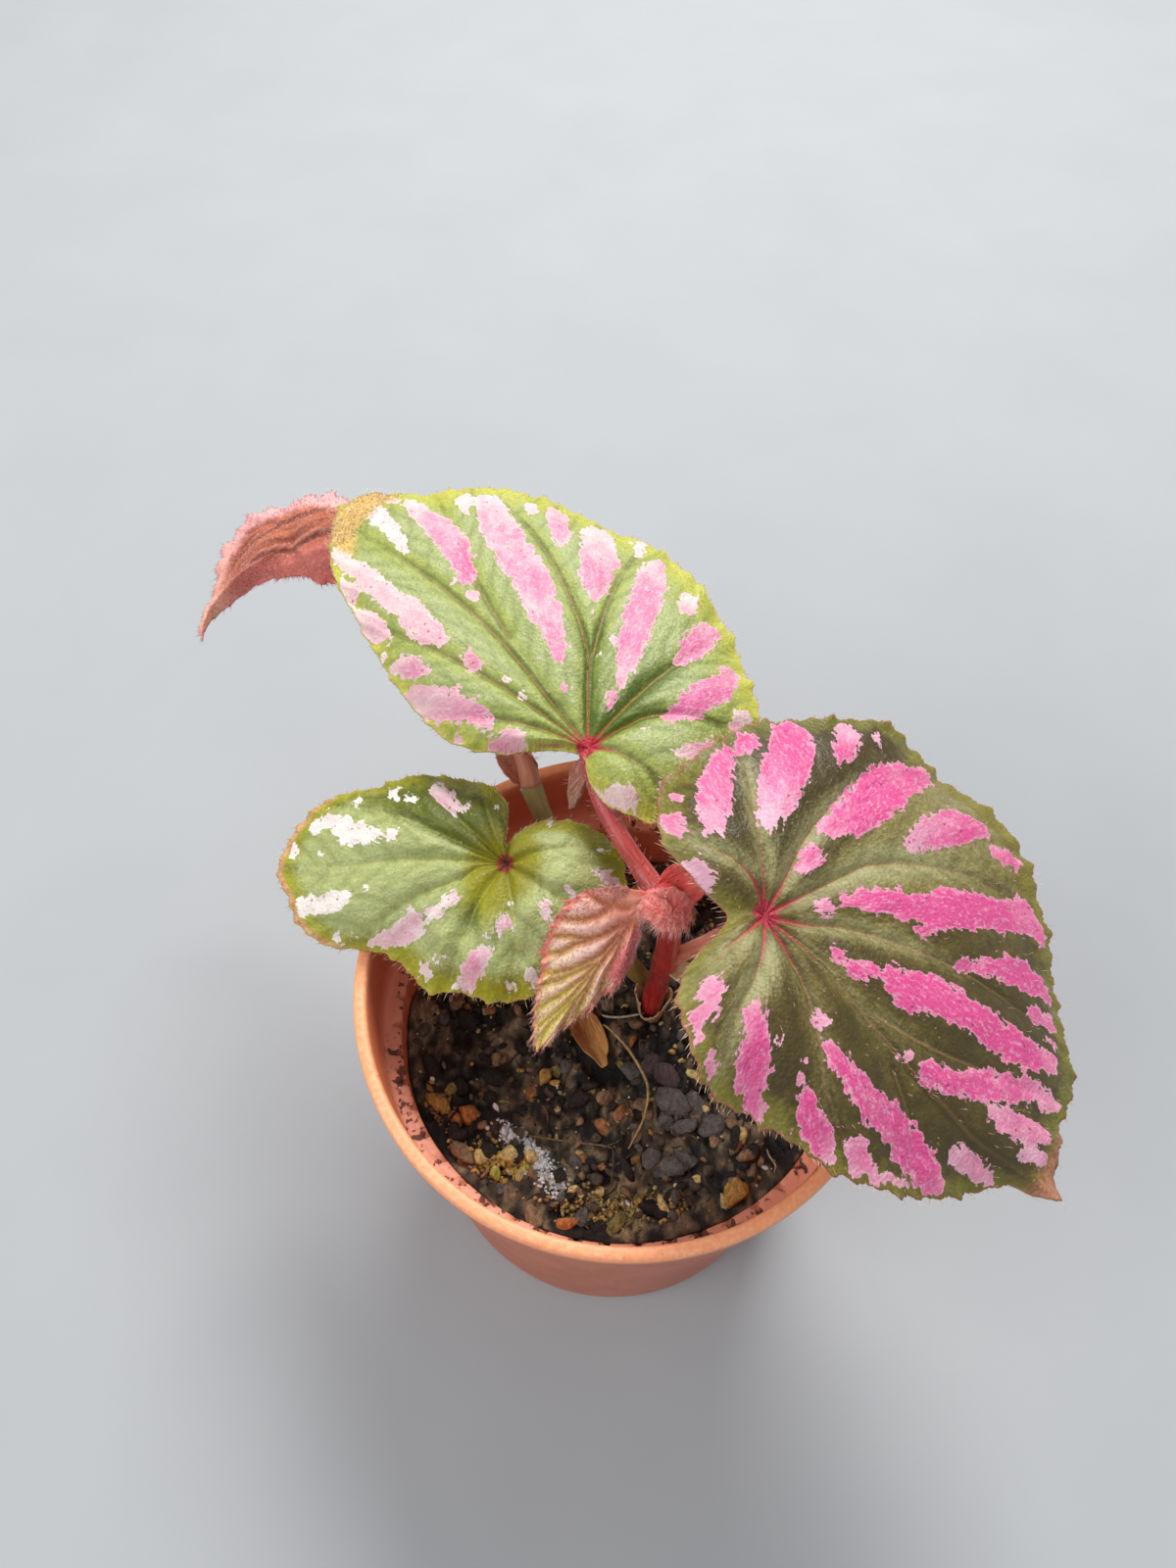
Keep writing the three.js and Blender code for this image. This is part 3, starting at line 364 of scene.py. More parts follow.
def segment_distance(x, y, segments):
    """Distance from each point to the nearest of many segments."""
    best = np.full(np.shape(x), 1e3)
    for x0, y0, x1, y1 in segments:
        dx, dy = x1 - x0, y1 - y0
        share = np.clip(((x - x0) * dx + (y - y0) * dy) / max(dx * dx + dy * dy, 1e-9), 0, 1)
        best = np.minimum(best, np.hypot(x - x0 - share * dx, y - y0 - share * dy))
    return best


def stroke_depth(x, y, strokes):
    """How deep each point lies inside the strokes, negative outside, and the tone there."""
    depth = np.full(np.shape(x), -50.0)
    tone = np.zeros(np.shape(x))
    for knots in strokes:
        for (x0, y0, w0, t0), (x1, y1, w1, t1) in zip(knots, knots[1:] or knots):
            dx, dy = x1 - x0, y1 - y0
            share = np.clip(((x - x0) * dx + (y - y0) * dy) / max(dx * dx + dy * dy, 1e-9), 0, 1)
            inside = w0 + (w1 - w0) * share - np.hypot(x - x0 - share * dx, y - y0 - share * dy)
            tone = np.where(inside > depth, t0 + (t1 - t0) * share, tone)
            depth = np.maximum(depth, inside)
    return depth, tone


def turn_matrix(heading, rise, roll):
    a, b, c = math.radians(heading), math.radians(-rise), math.radians(roll)
    about_z = np.array([[math.cos(a), -math.sin(a), 0], [math.sin(a), math.cos(a), 0], [0, 0, 1]])
    about_y = np.array([[math.cos(b), 0, math.sin(b)], [0, 1, 0], [-math.sin(b), 0, math.cos(b)]])
    about_x = np.array([[1, 0, 0], [0, math.cos(c), -math.sin(c)], [0, math.sin(c), math.cos(c)]])
    return about_z @ about_y @ about_x


def camera_axes():
    """The camera's right, up and forward."""
    pitch, roll = math.radians(CAMERA["pitch"]), math.radians(CAMERA["roll"])
    right, up = np.array([1, 0, 0]), np.array([0, math.sin(pitch), math.cos(pitch)])
    forward = np.array([0, math.cos(pitch), -math.sin(pitch)])
    return math.cos(roll) * right + math.sin(roll) * up, math.cos(roll) * up - math.sin(roll) * right, forward


def dome_height(leaf, shares, angle, reach):
    """Height of the broad dome of a blade, which falls to the margin and most at the tip."""
    fallen = leaf["fall"] * shares**2 + leaf["tip_fall"] * shares**3 * np.exp(-((angle / 12) ** 2))
    return smooth(reach, 3, 16) * (leaf["dome"] * 4 * shares * (1 - shares) - fallen)


def seen_place(leaf, across, down):
    """Where pixels of the photograph fall on a leaf's dome, as x and y in its own frame."""
    right, up, forward = camera_axes()
    turn = turn_matrix(leaf["heading"], leaf["rise"], leaf["roll"])
    sight = (CAMERA["focal"] * forward + (across - CAMERA["wide"] / 2)[:, None] * right
             - (down - CAMERA["high"] / 2)[:, None] * up) @ turn
    eye = (np.array(CAMERA["place"]) - leaf["base"]) @ turn
    corners, radii = zip(*leaf["outline"])
    height = np.zeros(len(sight))
    for _ in range(25):
        x, y = eye[:2, None] + sight[:, :2].T * (height - eye[2]) / sight[:, 2]
        angle = np.degrees(np.arctan2(y, x))
        reach = np.interp(angle, corners, radii, period=360)
        shares = np.minimum(np.hypot(x, y) / reach, 1.05)
        height += 0.5 * (dome_height(leaf, shares, angle, reach) - height)
    return x, y


def stroke_knots(leaf, stroke):
    """The points of a stroke on the blade: x, y, half width and tone."""
    across, down, width, tone = np.array(stroke, float).T
    x, y = seen_place(leaf, across, down)
    step = 4
    (x1, y1), (x2, y2) = seen_place(leaf, across + step, down), seen_place(leaf, across, down + step)
    pixel = np.sqrt(np.abs((x1 - x) * (y2 - y) - (y1 - y) * (x2 - x))) / step
    return list(zip(x, y, width * pixel, tone))


# Meshes


def add_piece(name, points, faces, material, replaces=(), attributes=None):
    """A mesh piece that rides on the plant. Faces are arrays of quads or triangles."""
    mesh = bpy.data.meshes.new(name)
    points = np.asarray(points, float)
    faces = [np.asarray(group, int) for group in faces if len(group)]
    loops = np.concatenate([group.ravel() for group in faces]).astype(np.int32)
    sizes = np.concatenate([np.full(len(group), group.shape[1]) for group in faces])
    starts = np.concatenate([[0], np.cumsum(sizes)[:-1]]).astype(np.int32)
    mesh.vertices.add(len(points))
    mesh.vertices.foreach_set("co", (points * 0.001).astype(np.float32).ravel())
    mesh.loops.add(len(loops))
    mesh.loops.foreach_set("vertex_index", loops)
    mesh.polygons.add(len(sizes))
    mesh.polygons.foreach_set("loop_start", starts)
    mesh.update(calc_edges=True)
    mesh.validate()
    mesh.polygons.foreach_set("use_smooth", np.full(len(mesh.polygons), True))
    for key, values in (attributes or {}).items():
        values = np.asarray(values, np.float32)
        if values.ndim == 1:
            mesh.attributes.new(key, "FLOAT", "POINT").data.foreach_set("value", values)
        elif key == "tint":
            full = np.hstack([values, np.ones((len(values), 1), np.float32)])
            mesh.attributes.new(key, "FLOAT_COLOR", "POINT").data.foreach_set("color", full.ravel())
        else:
            mesh.attributes.new(key, "FLOAT_VECTOR", "POINT").data.foreach_set("vector", values.ravel())
    mesh.materials.append(material)
    piece = bpy.data.objects.new(name, mesh)
    bpy.context.scene.collection.objects.link(piece)
    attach(piece, "root")
    if replaces:
        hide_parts(*replaces)
    return piece


def wrap_quads(rows, columns, first=0):
    """Quads of a grid of rows whose columns close on themselves."""
    i, j = np.meshgrid(np.arange(rows - 1), np.arange(columns), indexing="ij")
    following = (j + 1) % columns
    corners = [i * columns + j, i * columns + following, (i + 1) * columns + following, (i + 1) * columns + j]
    return first + np.stack(corners, axis=-1).reshape(-1, 4)


def fan(hub, rim, flip=False):
    """Triangles from a hub to a closed rim."""
    following = np.roll(rim, -1)
    pair = (following, rim) if flip else (rim, following)
    return np.stack([np.full(len(rim), hub), *pair], axis=1)


def join_parts(parts):
    """One set of points, faces and attributes out of several."""
    points, faces, attributes, first = [], {}, {}, 0
    for part_points, part_faces, part_attributes in parts:
        points.append(part_points)
        for group in part_faces:
            faces.setdefault(group.shape[1], []).append(group + first)
        for key, values in part_attributes.items():
            attributes.setdefault(key, []).append(values)
        first += len(part_points)
    return (np.vstack(points), [np.vstack(groups) for groups in faces.values()],
            {key: np.concatenate(values) for key, values in attributes.items()})


def add_parts(name, parts, material):
    """Several parts as one piece that replaces no node."""
    points, faces, attributes = join_parts(parts)
    add_piece(name, points, faces, material, (), attributes)


def barrel_faces(rows, columns, inward=False):
    """Faces of rings in rows, closed by a point under the first row and one over the last."""
    count = rows * columns
    quads = wrap_quads(rows, columns)
    return [quads[:, ::-1] if inward else quads, fan(count, np.arange(columns), not inward),
            fan(count + 1, np.arange(count - columns, count), inward)]


def sheet_faces(rings, columns):
    """Faces of a closed sheet: a hub and rings on each of its two sides, joined at the rim."""
    count = 1 + rings * columns
    quads, first = wrap_quads(rings, columns, 1), 1 + np.arange(columns)
    rim = np.arange(count - columns, count)
    following = np.roll(rim, -1)
    return [quads[:, ::-1], fan(0, first), quads + count, fan(count, first + count, flip=True),
            np.stack([rim, rim + count, following + count, following], axis=1)]


def hub_and_grid(hub, *coordinates):
    """The hub's point, then the points of the grid, row by row."""
    return np.vstack([[hub], np.stack(coordinates, axis=-1).reshape(-1, 3)])


def hair_part(roots, directions, lengths, bends, random, thick):
    """Fine tapering hairs: three-sided, bent in the middle, closed at the root."""
    count = len(roots)
    directions = unit(directions)
    helper = np.where(np.abs(directions[:, 2:]) < 0.8, [[0.0, 0.0, 1.0]], [[1.0, 0.0, 0.0]])
    side = unit(np.cross(directions, helper))
    other = np.cross(directions, side)
    lengths = lengths[:, None]
    middle = roots + directions * lengths * 0.55 + bends * 0.25
    tip = roots + directions * lengths + bends
    rings = []
    for centre, radius in ((roots, thick), (middle, thick * 0.6)):
        for k in range(3):
            turn = 2 * math.pi * k / 3
            rings.append(centre + (side * math.cos(turn) + other * math.sin(turn)) * radius)
    points = np.stack([*rings, tip], axis=1).reshape(-1, 3)
    pattern = np.array([[0, 2, 1], [0, 1, 4], [0, 4, 3], [1, 2, 5], [1, 5, 4], [2, 0, 3], [2, 3, 5],
                        [3, 4, 6], [4, 5, 6], [5, 3, 6]])
    triangles = (pattern[None] + 7 * np.arange(count)[:, None, None]).reshape(-1, 3)
    along = np.tile([0, 0, 0, 0.5, 0.5, 0.5, 1], count)
    shade = np.repeat(random.random(count), 7)
    return points, [triangles], {"along": along, "shade": shade}


def tube_part(path, radii, sides, colour=None):
    """A closed round tube along close points, with blunt ends."""
    path, radii = np.asarray(path, float), np.asarray(radii, float)
    tangents = unit(np.gradient(path, axis=0))
    normal = np.cross(tangents[0], [0.3, 0.9, 0.2])
    frames = []
    for tangent in tangents:
        normal = normal - tangent * normal.dot(tangent)
        normal = normal / np.linalg.norm(normal)
        frames.append((normal, np.cross(tangent, normal)))
    turns = full_turn(sides)
    rings = [centre + radius * (np.cos(turns)[:, None] * n + np.sin(turns)[:, None] * b)
             for centre, radius, (n, b) in zip(path, radii, frames)]
    caps = [path[0] - tangents[0] * radii[0] * 0.6, path[-1] + tangents[-1] * radii[-1] * 0.6]
    points = np.vstack([*rings, caps])
    steps = np.linalg.norm(np.diff(path, axis=0), axis=1)
    along = np.concatenate([[0], np.cumsum(steps)])
    length = np.concatenate([np.repeat(along, sides), [0, along[-1]]])
    around = np.concatenate([np.tile(turns, len(path)), [0, 0]])
    attributes = {"along": length / along[-1],
                  "place": np.stack([np.cos(around) * 1.5, np.sin(around) * 1.5, length], axis=1)}
    if colour:
        attributes = {"tint": np.tile(light(colour), (len(points), 1))}
    return points, barrel_faces(len(path), sides), attributes


# Materials


def rgb(red, green, blue):
    """A colour as seen on a screen, from 0 to 255, as the light that it stands for."""
    def linear(value):
        share = value / 255
        return share / 12.92 if share <= 0.04045 else ((share + 0.055) / 1.055) ** 2.4
    return (linear(red), linear(green), linear(blue), 1.0)


def light(colour):
    """A colour as seen on a screen, as an array of the light that it stands for."""
    return np.array(rgb(*colour)[:3])


class Output:
    """The output of a node, with the sums and products that go on from it."""

    def __init__(self, surface, socket):
        self.surface, self.socket = surface, socket

    def __add__(self, other):
        return self.surface.calculate("ADD", self, other)

    def __sub__(self, number):
        return self + -number

    def __mul__(self, other):
        return self.surface.calculate("MULTIPLY", self, other)


class Surface:
    """A node material, written as calls that each add a node and give its output."""

    def __init__(self, name, roughness=0.5, specular=0.5, **constants):
        self.material = bpy.data.materials.new(name)
        self.material.use_nodes = True
        self.tree = self.material.node_tree
        self.tree.nodes.clear()
        self.shader = self.tree.nodes.new("ShaderNodeBsdfPrincipled")
        output = self.tree.nodes.new("ShaderNodeOutputMaterial")
        self.tree.links.new(self.shader.outputs[0], output.inputs[0])
        constants.update(Roughness=roughness, Specular_IOR_Level=specular)
        for key, value in constants.items():
            self.shader.inputs[key.replace("_", " ")].default_value = value

    def feed(self, socket, value):
        """Sets an input. A tuple is a colour as seen on a screen, and a list is a vector."""
        if isinstance(value, Output):
            self.tree.links.new(value.socket, socket)
        else:
            socket.default_value = rgb(*value) if isinstance(value, tuple) else value

    def node(self, kind, inputs=(), output=0, **settings):
        """Adds a node, feeds its inputs and gives one output."""
        node = self.tree.nodes.new("ShaderNode" + kind)
        for key, value in settings.items():
            setattr(node, key, value)
        for key, value in inputs:
            self.feed(node.inputs[key], value)
        return Output(self, node.outputs[output])

    def calculate(self, operation, *values):
        return self.node("Math", enumerate(values), operation=operation)

    def step(self, value, low, high, start=0.0, end=1.0):
        """A smooth step from start to end, while the value goes from low to high."""
        keys = ("Value", "From Min", "From Max", "To Min", "To Max")
        values = (value, low, high, start, end)
        return self.node("MapRange", zip(keys, values), interpolation_type="SMOOTHSTEP")

    def mix(self, share, a, b, blend="MIX"):
        inputs = [(0, share), (6, a), (7, b)]
        return self.node("Mix", inputs, 2, data_type="RGBA", blend_type=blend)

    def value(self, name, kind="Fac"):
        return self.node("Attribute", (), kind, attribute_name=name)

    def vector(self, name):
        return self.value(name, "Vector")

    def object_place(self):
        """Places on the object, in millimetres."""
        inputs = [(0, self.node("TexCoord", (), "Object")), ("Scale", 1000)]
        return self.node("VectorMath", inputs, operation="SCALE")

    def stretch(self, vector, x, y, z):
        return self.node("VectorMath", [(0, vector), (1, [x, y, z])], operation="MULTIPLY")

    def noise(self, vector, scale, detail=3.0, roughness=0.55):
        inputs = zip(("Vector", "Scale", "Detail", "Roughness"), (vector, scale, detail, roughness))
        return self.node("TexNoise", inputs, "Fac")

    def cells(self, vector, scale):
        return self.node("TexVoronoi", [("Vector", vector), ("Scale", scale)], "Distance")

    def colour_of(self, red, green, blue):
        return self.node("CombineColor", enumerate((red, green, blue)))

    def shaded(self, colour, shade):
        """A colour made lighter or darker by a factor."""
        return self.mix(1.0, colour, self.colour_of(shade, shade, shade), "MULTIPLY")

    def colour(self, value):
        self.feed(self.shader.inputs["Base Color"], value)

    def rough(self, value):
        self.feed(self.shader.inputs["Roughness"], value)

    def bump(self, height, millimetres, strength=1.0):
        inputs = [("Height", height), ("Distance", millimetres * 0.001), ("Strength", strength)]
        self.feed(self.shader.inputs["Normal"], self.node("Bump", inputs))


def leaf_surface(name, look):
    """Green, silver with painted sheen, and pink of a grown leaf, with its veins, margin and paler underside.
    """
    s = Surface(name, roughness=0.42, specular=0.42, Sheen_Weight=0.05, Sheen_Roughness=0.4)
    place, fibre = s.vector("place"), s.vector("fibre")
    broad, medium = s.noise(place, 0.16, 3), s.noise(place, 0.6, 4)
    fine, grain = s.noise(place, 2.6, 4), s.noise(place, 7.0, 3)
    strand = s.noise(fibre, 1.5, 5, 0.7) * look["fibrous"]
    strand = strand + s.noise(place, 1.5, 5, 0.75) * (1 - look["fibrous"])
    vein, edge, hub_distance = s.value("vein"), s.value("edge"), s.value("hub")

    dark = s.value("dark") + (broad - 0.5) * 0.9
    dark = dark + (medium - 0.5) * 0.8
    dark = dark + s.step(vein, 1.15, 0.35, 0.0, look["vein_shadow"])
    green = s.mix(s.step(dark, 0.0, 1.0), look["mid"], look["deep"])
    # Silvery colour: partly the leaf's own, partly painted sheen.
    silver_and_sheen = s.value("silver_and_sheen") + (strand - 0.5) * 1.3
    green = s.mix(s.step(silver_and_sheen, 0.2, 1.0), green, look["silver_and_sheen"])
    near_edge = s.step(edge + (medium - 0.5) * 8.0, look["edge_reach"], 0.2)
    green = s.mix(near_edge * look["edge_share"], green, look["edge"])
    speckle = s.step(strand, 0.34, 0.66, 0.8, 1.18) * s.step(grain, 0.3, 0.7, 0.86, 1.14)
    green = s.shaded(green, speckle)
    green = s.mix(s.value("twig") * look["twig_share"], green, look["twig"])
    line = s.step(vein, 0.34, 0.08) * s.step(s.value("share"), 1.0, 0.2, 0.1, 1.0)
    green = s.mix(line * look["vein_share"], green, look["vein"])
    glow = s.step(hub_distance + (medium - 0.5) * 6.0, look["glow_reach"], 1.0)
    green = s.mix(glow * look["glow_share"], green, look["glow"])
    brown = s.step(s.value("brown") + (fine + medium - 1.0) * 0.8, 0.15, 0.9)
    green = s.mix(brown, green, s.mix(s.step(strand, 0.35, 0.6), look["brown_dark"], look["brown"]))

    ragged, nibble = s.noise(fibre, 1.15, 4, 0.62), s.noise(place, 0.75, 3)
    depth = s.value("depth") + (ragged - 0.5) * 3.6
    depth = depth + (nibble - 0.5) * 2.6
    patch = s.step(depth, -0.06, 0.1)
    tone = s.value("tone") + (s.noise(fibre, 0.45, 3) - 0.5) * look["streaks"]
    tone = tone + (medium - 0.5) * 0.35
    pink = s.mix(s.step(tone, -0.05, 1.0), look["pale"], look["pink"])
    pink = s.mix(s.step(depth, 0.7, 0.0, 0.0, 0.5), pink, look["pale"])
    pink = s.mix(s.step(s.noise(fibre, 2.6, 3, 0.7), 0.5, 0.66, 0.0, 0.42), pink, look["pale"])
    pink = s.mix(s.step(grain, 0.42, 0.3, 0.0, 0.25), pink, look["dot"])
    dots = s.step(s.cells(place, 0.5), 0.15, 0.08)
    pink = s.mix(dots * 0.7, pink, look["dot"])
    top = s.mix(patch * s.step(brown, 0.9, 0.2), green, pink)
    flecks = s.step(s.cells(place, 0.6), 0.09, 0.05) * s.step(patch, 0.6, 0.0)
    top = s.mix(flecks * look["fleck_share"], top, look["fleck"])
    rim = s.step(edge + (fine - 0.5) * 0.9, look["rim_width"], 0.08)
    top = s.mix(rim * 0.85, top, look["rim"])
    hub = hub_distance + (strand - 0.5) * look["hub_ragged"]
    hub_mark = s.step(hub, look["hub_reach"], look["hub_reach"] * 0.6)
    streak = s.step(vein, 0.45, 0.1) * s.step(hub, look["streak_reach"], look["hub_reach"] * 0.6)
    hub_colour = s.mix(s.step(fine, 0.35, 0.65), look["hub"], look["hub_light"])
    top = s.mix(streak * 0.85, top, look["hub_light"])
    top = s.mix(hub_mark, top, hub_colour)
    # A near-black spot at the hub: painted shade where the petiole meets the blade.
    top = s.mix(s.step(hub_distance, 0.9, 0.3) * look["hub_shade"], top, (54, 16, 12))

    under = s.mix(s.step(medium, 0.25, 0.75), look["under"], look["under_dark"])
    under = s.mix(s.step(s.value("depth"), -0.4, 0.8) * 0.55, under, look["under_patch"])
    ridge = s.calculate("MAXIMUM", s.step(vein, 1.0, 0.25), s.value("twig") * 0.8)
    under = s.mix(ridge * 0.85, under, look["under_vein"])
    s.colour(s.mix(s.value("upper"), under, top))
    s.rough(s.step(strand, 0.3, 0.7, 0.36, 0.54))
    relief = s.cells(place, 1.9) * 0.8 + strand * 1.0
    s.bump(relief + patch * 0.2, 0.16, 0.85)
    return s.material


def young_surface():
    """The pleated young leaf: pale pink ribs with painted highlight on them, between golden-olive folds,
    redder at the margin.
    """
    s = Surface("young_leaf", roughness=0.45, specular=0.45, Sheen_Weight=0.1, Sheen_Roughness=0.45)
    place = s.vector("place")
    fine, medium, grain = s.noise(place, 2.4, 4), s.noise(place, 0.5, 3), s.noise(place, 6.0, 3)
    vein = s.value("vein") + (fine - 0.5) * 0.6
    toward_tip = s.step(s.value("hub"), 9.0, 23.0)
    fold = s.mix(toward_tip, (172, 116, 44), (196, 180, 34))
    flank = s.mix(toward_tip, (236, 160, 112), (236, 216, 112))
    # The rib tops are paler: partly their own pale pink, partly painted highlight.
    ridge = s.mix(toward_tip * 0.7, (246, 208, 190), (246, 230, 160))
    body = s.mix(s.step(vein, 0.08, 0.42), fold, flank)
    body = s.mix(s.step(vein, 0.36, 0.9), body, ridge)
    near_hub = s.step(s.value("hub") + (medium - 0.5) * 7.0, 12.0, 4.0)
    body = s.mix(near_hub * 0.75, body, (206, 112, 76))
    edge = s.step(s.value("edge") + (fine - 0.5) * 1.5, 1.3, 0.2)
    body = s.mix(edge * s.step(s.value("hub"), 27.0, 14.0, 0.3, 0.9), body, (236, 116, 94))
    blush = s.step(s.value("across") + (medium - 0.5) * 1.0, 0.3, 0.75) * 0.9
    body = s.mix(blush, body, (242, 104, 108))
    body = s.mix(s.step(grain, 0.45, 0.7, 0.0, 0.25), body, (252, 228, 214))
    body = s.mix(s.step(grain, 0.42, 0.3, 0.0, 0.3), body, (178, 92, 64))
    under = s.mix(s.step(s.value("crest"), 0.1, 0.8), (200, 90, 80), (214, 150, 120))
    s.colour(s.mix(s.value("upper"), under, body))
    s.rough(s.step(medium, 0.2, 0.8, 0.5, 0.65))
    s.bump(fine + grain * 0.5, 0.12, 0.7)
    return s.material


def drooping_surface():
    """The brownish red folded leaf, pinker along its margins, with painted shade in its folds and a painted
    highlight by its crease.
    """
    s = Surface("drooping_leaf", roughness=0.5, specular=0.35, Sheen_Weight=0.15, Sheen_Roughness=0.5)
    place = s.vector("place")
    fine, grain = s.noise(place, 1.8, 4), s.noise(place, 6.0, 3)
    across = s.value("across") + (s.noise(place, 0.45, 3) - 0.5) * 0.25
    lengthwise = s.colour_of(s.value("across") * 7.0, s.value("hub") * 0.12, 0.0)
    lines = s.noise(lengthwise, 1.0, 4, 0.6)
    body = s.mix(s.step(lines, 0.36, 0.64), (150, 66, 44), (198, 108, 72))
    # Painted shade: darker in the hollows of the pleats and the crease.
    body = s.mix(s.step(s.value("crest") + (fine - 0.5) * 0.5, 0.25, 0.0, 0.0, 0.7), body, (112, 46, 34))
    golden = s.step(across, -0.75, -0.3) * s.step(across, 0.35, -0.2)
    body = s.mix(golden * s.step(fine, 0.45, 0.65, 0.05, 0.5), body, (184, 112, 56))
    # A paler line on the ridge beside the crease: painted highlight.
    line = s.step(across, 0.1, 0.17) * s.step(across, 0.25, 0.19)
    body = s.mix(line * 0.4, body, (226, 152, 138))
    body = s.mix(s.step(across, 0.34, 0.6, 0.0, 0.75), body, (216, 114, 104))
    ragged_edge = s.value("edge") + (s.noise(place, 0.8, 3) - 0.5) * 3.5
    pink = s.step(ragged_edge, 3.8, 1.6) * s.step(across, 0.2, -0.3)
    body = s.mix(pink * 0.92, body, (250, 184, 180))
    body = s.mix(s.step(s.value("hub"), 14.0, 23.0) * 0.85, body, (250, 182, 152))
    body = s.mix(s.step(fine, 0.52, 0.7, 0.0, 0.35), body, (248, 200, 188))
    body = s.mix(s.step(grain, 0.45, 0.3, 0.0, 0.3), body, (110, 40, 30))
    s.colour(body)
    s.rough(s.step(fine, 0.2, 0.8, 0.42, 0.6))
    s.bump(fine + grain * 0.5, 0.16, 0.85)
    return s.material


def skin_surface(name, low, high, streak, roughness=0.4, relief=0.6, streak_share=0.6):
    """Stem skin: one colour at the foot, another at the top, with lengthwise streaks."""
    s = Surface(name, roughness=roughness, specular=0.5, Sheen_Weight=0.1)
    place = s.vector("place")
    long_noise = s.noise(s.stretch(place, 2.2, 2.2, 0.28), 1.0, 4)
    cloud = s.noise(place, 0.22, 3)
    body = s.mix(s.step(s.value("along") + (cloud - 0.5) * 0.7, 0.1, 0.9), low, high)
    body = s.mix(s.step(long_noise, 0.48, 0.7, 0.0, streak_share), body, streak)
    dots = s.step(s.cells(s.stretch(place, 1.0, 1.0, 0.45), 1.1), 0.14, 0.07)
    body = s.mix(dots * 0.25, body, streak)
    s.colour(body)
    s.rough(s.step(long_noise, 0.3, 0.7, roughness - 0.06, roughness + 0.12))
    s.bump(long_noise + s.noise(place, 3.0, 2) * 0.3, 0.14, relief)
    return s.material


def hair_surface(name, root, tip):
    """Hairs and bristles: coloured at the root, pale and glassy at the tip."""
    s = Surface(name, roughness=0.38, specular=0.6)
    share = s.value("along") + (s.value("shade") - 0.5) * 0.5
    body = s.mix(s.step(share, 0.0, 0.85), root, tip)
    body = s.mix(s.step(s.noise(s.object_place(), 1.6, 2), 0.4, 0.7, 0.0, 0.25), body, root)
    s.colour(body)
    return s.material


def bract_surface(name, base, tip, streak):
    """Papery bracts with fine lengthwise fibres."""
    s = Surface(name, roughness=0.62, specular=0.3, Sheen_Weight=0.15)
    place = s.vector("place")
    fibres = s.noise(s.stretch(place, 0.35, 2.6, 1.0), 1.3, 4)
    body = s.mix(s.step(s.value("along") + (fibres - 0.5) * 0.5, 0.1, 1.0), base, tip)
    body = s.mix(s.step(fibres, 0.45, 0.68, 0.0, 0.75), body, streak)
    s.colour(body)
    s.rough(s.step(fibres, 0.3, 0.7, 0.5, 0.75))
    s.bump(fibres, 0.18, 0.8)
    return s.material


def pot_surface():
    """Thin brick-red plastic: painted light on the lip, inner wall and ledge, dusty wall, soil in the notches
    of the ledge, painted shade low inside.
    """
    s = Surface("pot_plastic", roughness=0.46, specular=0.45)
    place = s.object_place()
    cloud, dust = s.noise(place, 0.09, 4), s.noise(place, 1.3, 5)
    body = s.mix(s.step(cloud, 0.3, 0.7), (176, 90, 62), (198, 112, 80))
    # The inner wall is painted paler than the outer: painted light.
    body = s.mix(s.value("inside"), body, (222, 122, 84))
    # The ledge's top is painted paler still: painted light from above.
    body = s.mix(s.value("ledge") * 0.8, body, (246, 166, 136))
    outer = s.value("outer") * s.step(dust, 0.4, 0.75, 0.1, 0.55)
    body = s.mix(outer, body, (192, 130, 108))
    body = s.mix(s.value("foot") * 0.7, body, (214, 122, 88))
    # The lip is painted paler: painted light from above.
    body = s.mix(s.value("lip"), body, s.mix(s.step(dust, 0.35, 0.75), (248, 158, 110), (254, 180, 132)))
    scratches = s.noise(s.stretch(place, 1.0, 1.0, 0.2), 0.9, 5, 0.7)
    body = s.mix(s.step(scratches, 0.62, 0.74, 0.0, 0.35), body, (236, 176, 150))
    soil_marks = s.noise(place, 0.8, 5, 0.68)
    # Dark soil marks, with painted shade lower down inside and on the ledge.
    dirt_and_shade = s.step(soil_marks + s.value("dirt_and_shade") * 0.3, 0.66, 0.74)
    body = s.mix(dirt_and_shade * 0.88, body, (64, 32, 22))
    s.colour(body)
    s.rough(s.step(dust, 0.3, 0.8, 0.4, 0.56) + dirt_and_shade * 0.3)
    turned_lines = s.noise(s.stretch(place, 0.05, 0.05, 2.2), 1.0, 2)
    s.bump(turned_lines * 0.35 + (dust * 0.3 + dirt_and_shade * 0.6), 0.2, 0.6)
    return s.material


def soil_surface():
    """Damp peat, bark and grit: each lump has its own colour, with wet highlights."""
    s = Surface("potting_mix", roughness=0.5, specular=0.5)
    place = s.object_place()
    fibre, grit = s.noise(s.stretch(place, 1.0, 0.55, 1.0), 1.4, 5, 0.65), s.noise(place, 3.6, 4, 0.7)
    shade = s.step(fibre + (grit - 0.5) * 0.6, 0.25, 0.8, 0.45, 1.5)
    s.colour(s.shaded(s.value("tint", "Color"), shade))
    wet = s.step(s.noise(place, 0.25, 3), 0.42, 0.6)
    s.rough(s.step(grit, 0.3, 0.75, 0.3, 0.7) + wet * -0.12)
    s.bump(fibre + grit * 0.8, 0.5, 0.9)
    return s.material


# Camera, light and floor


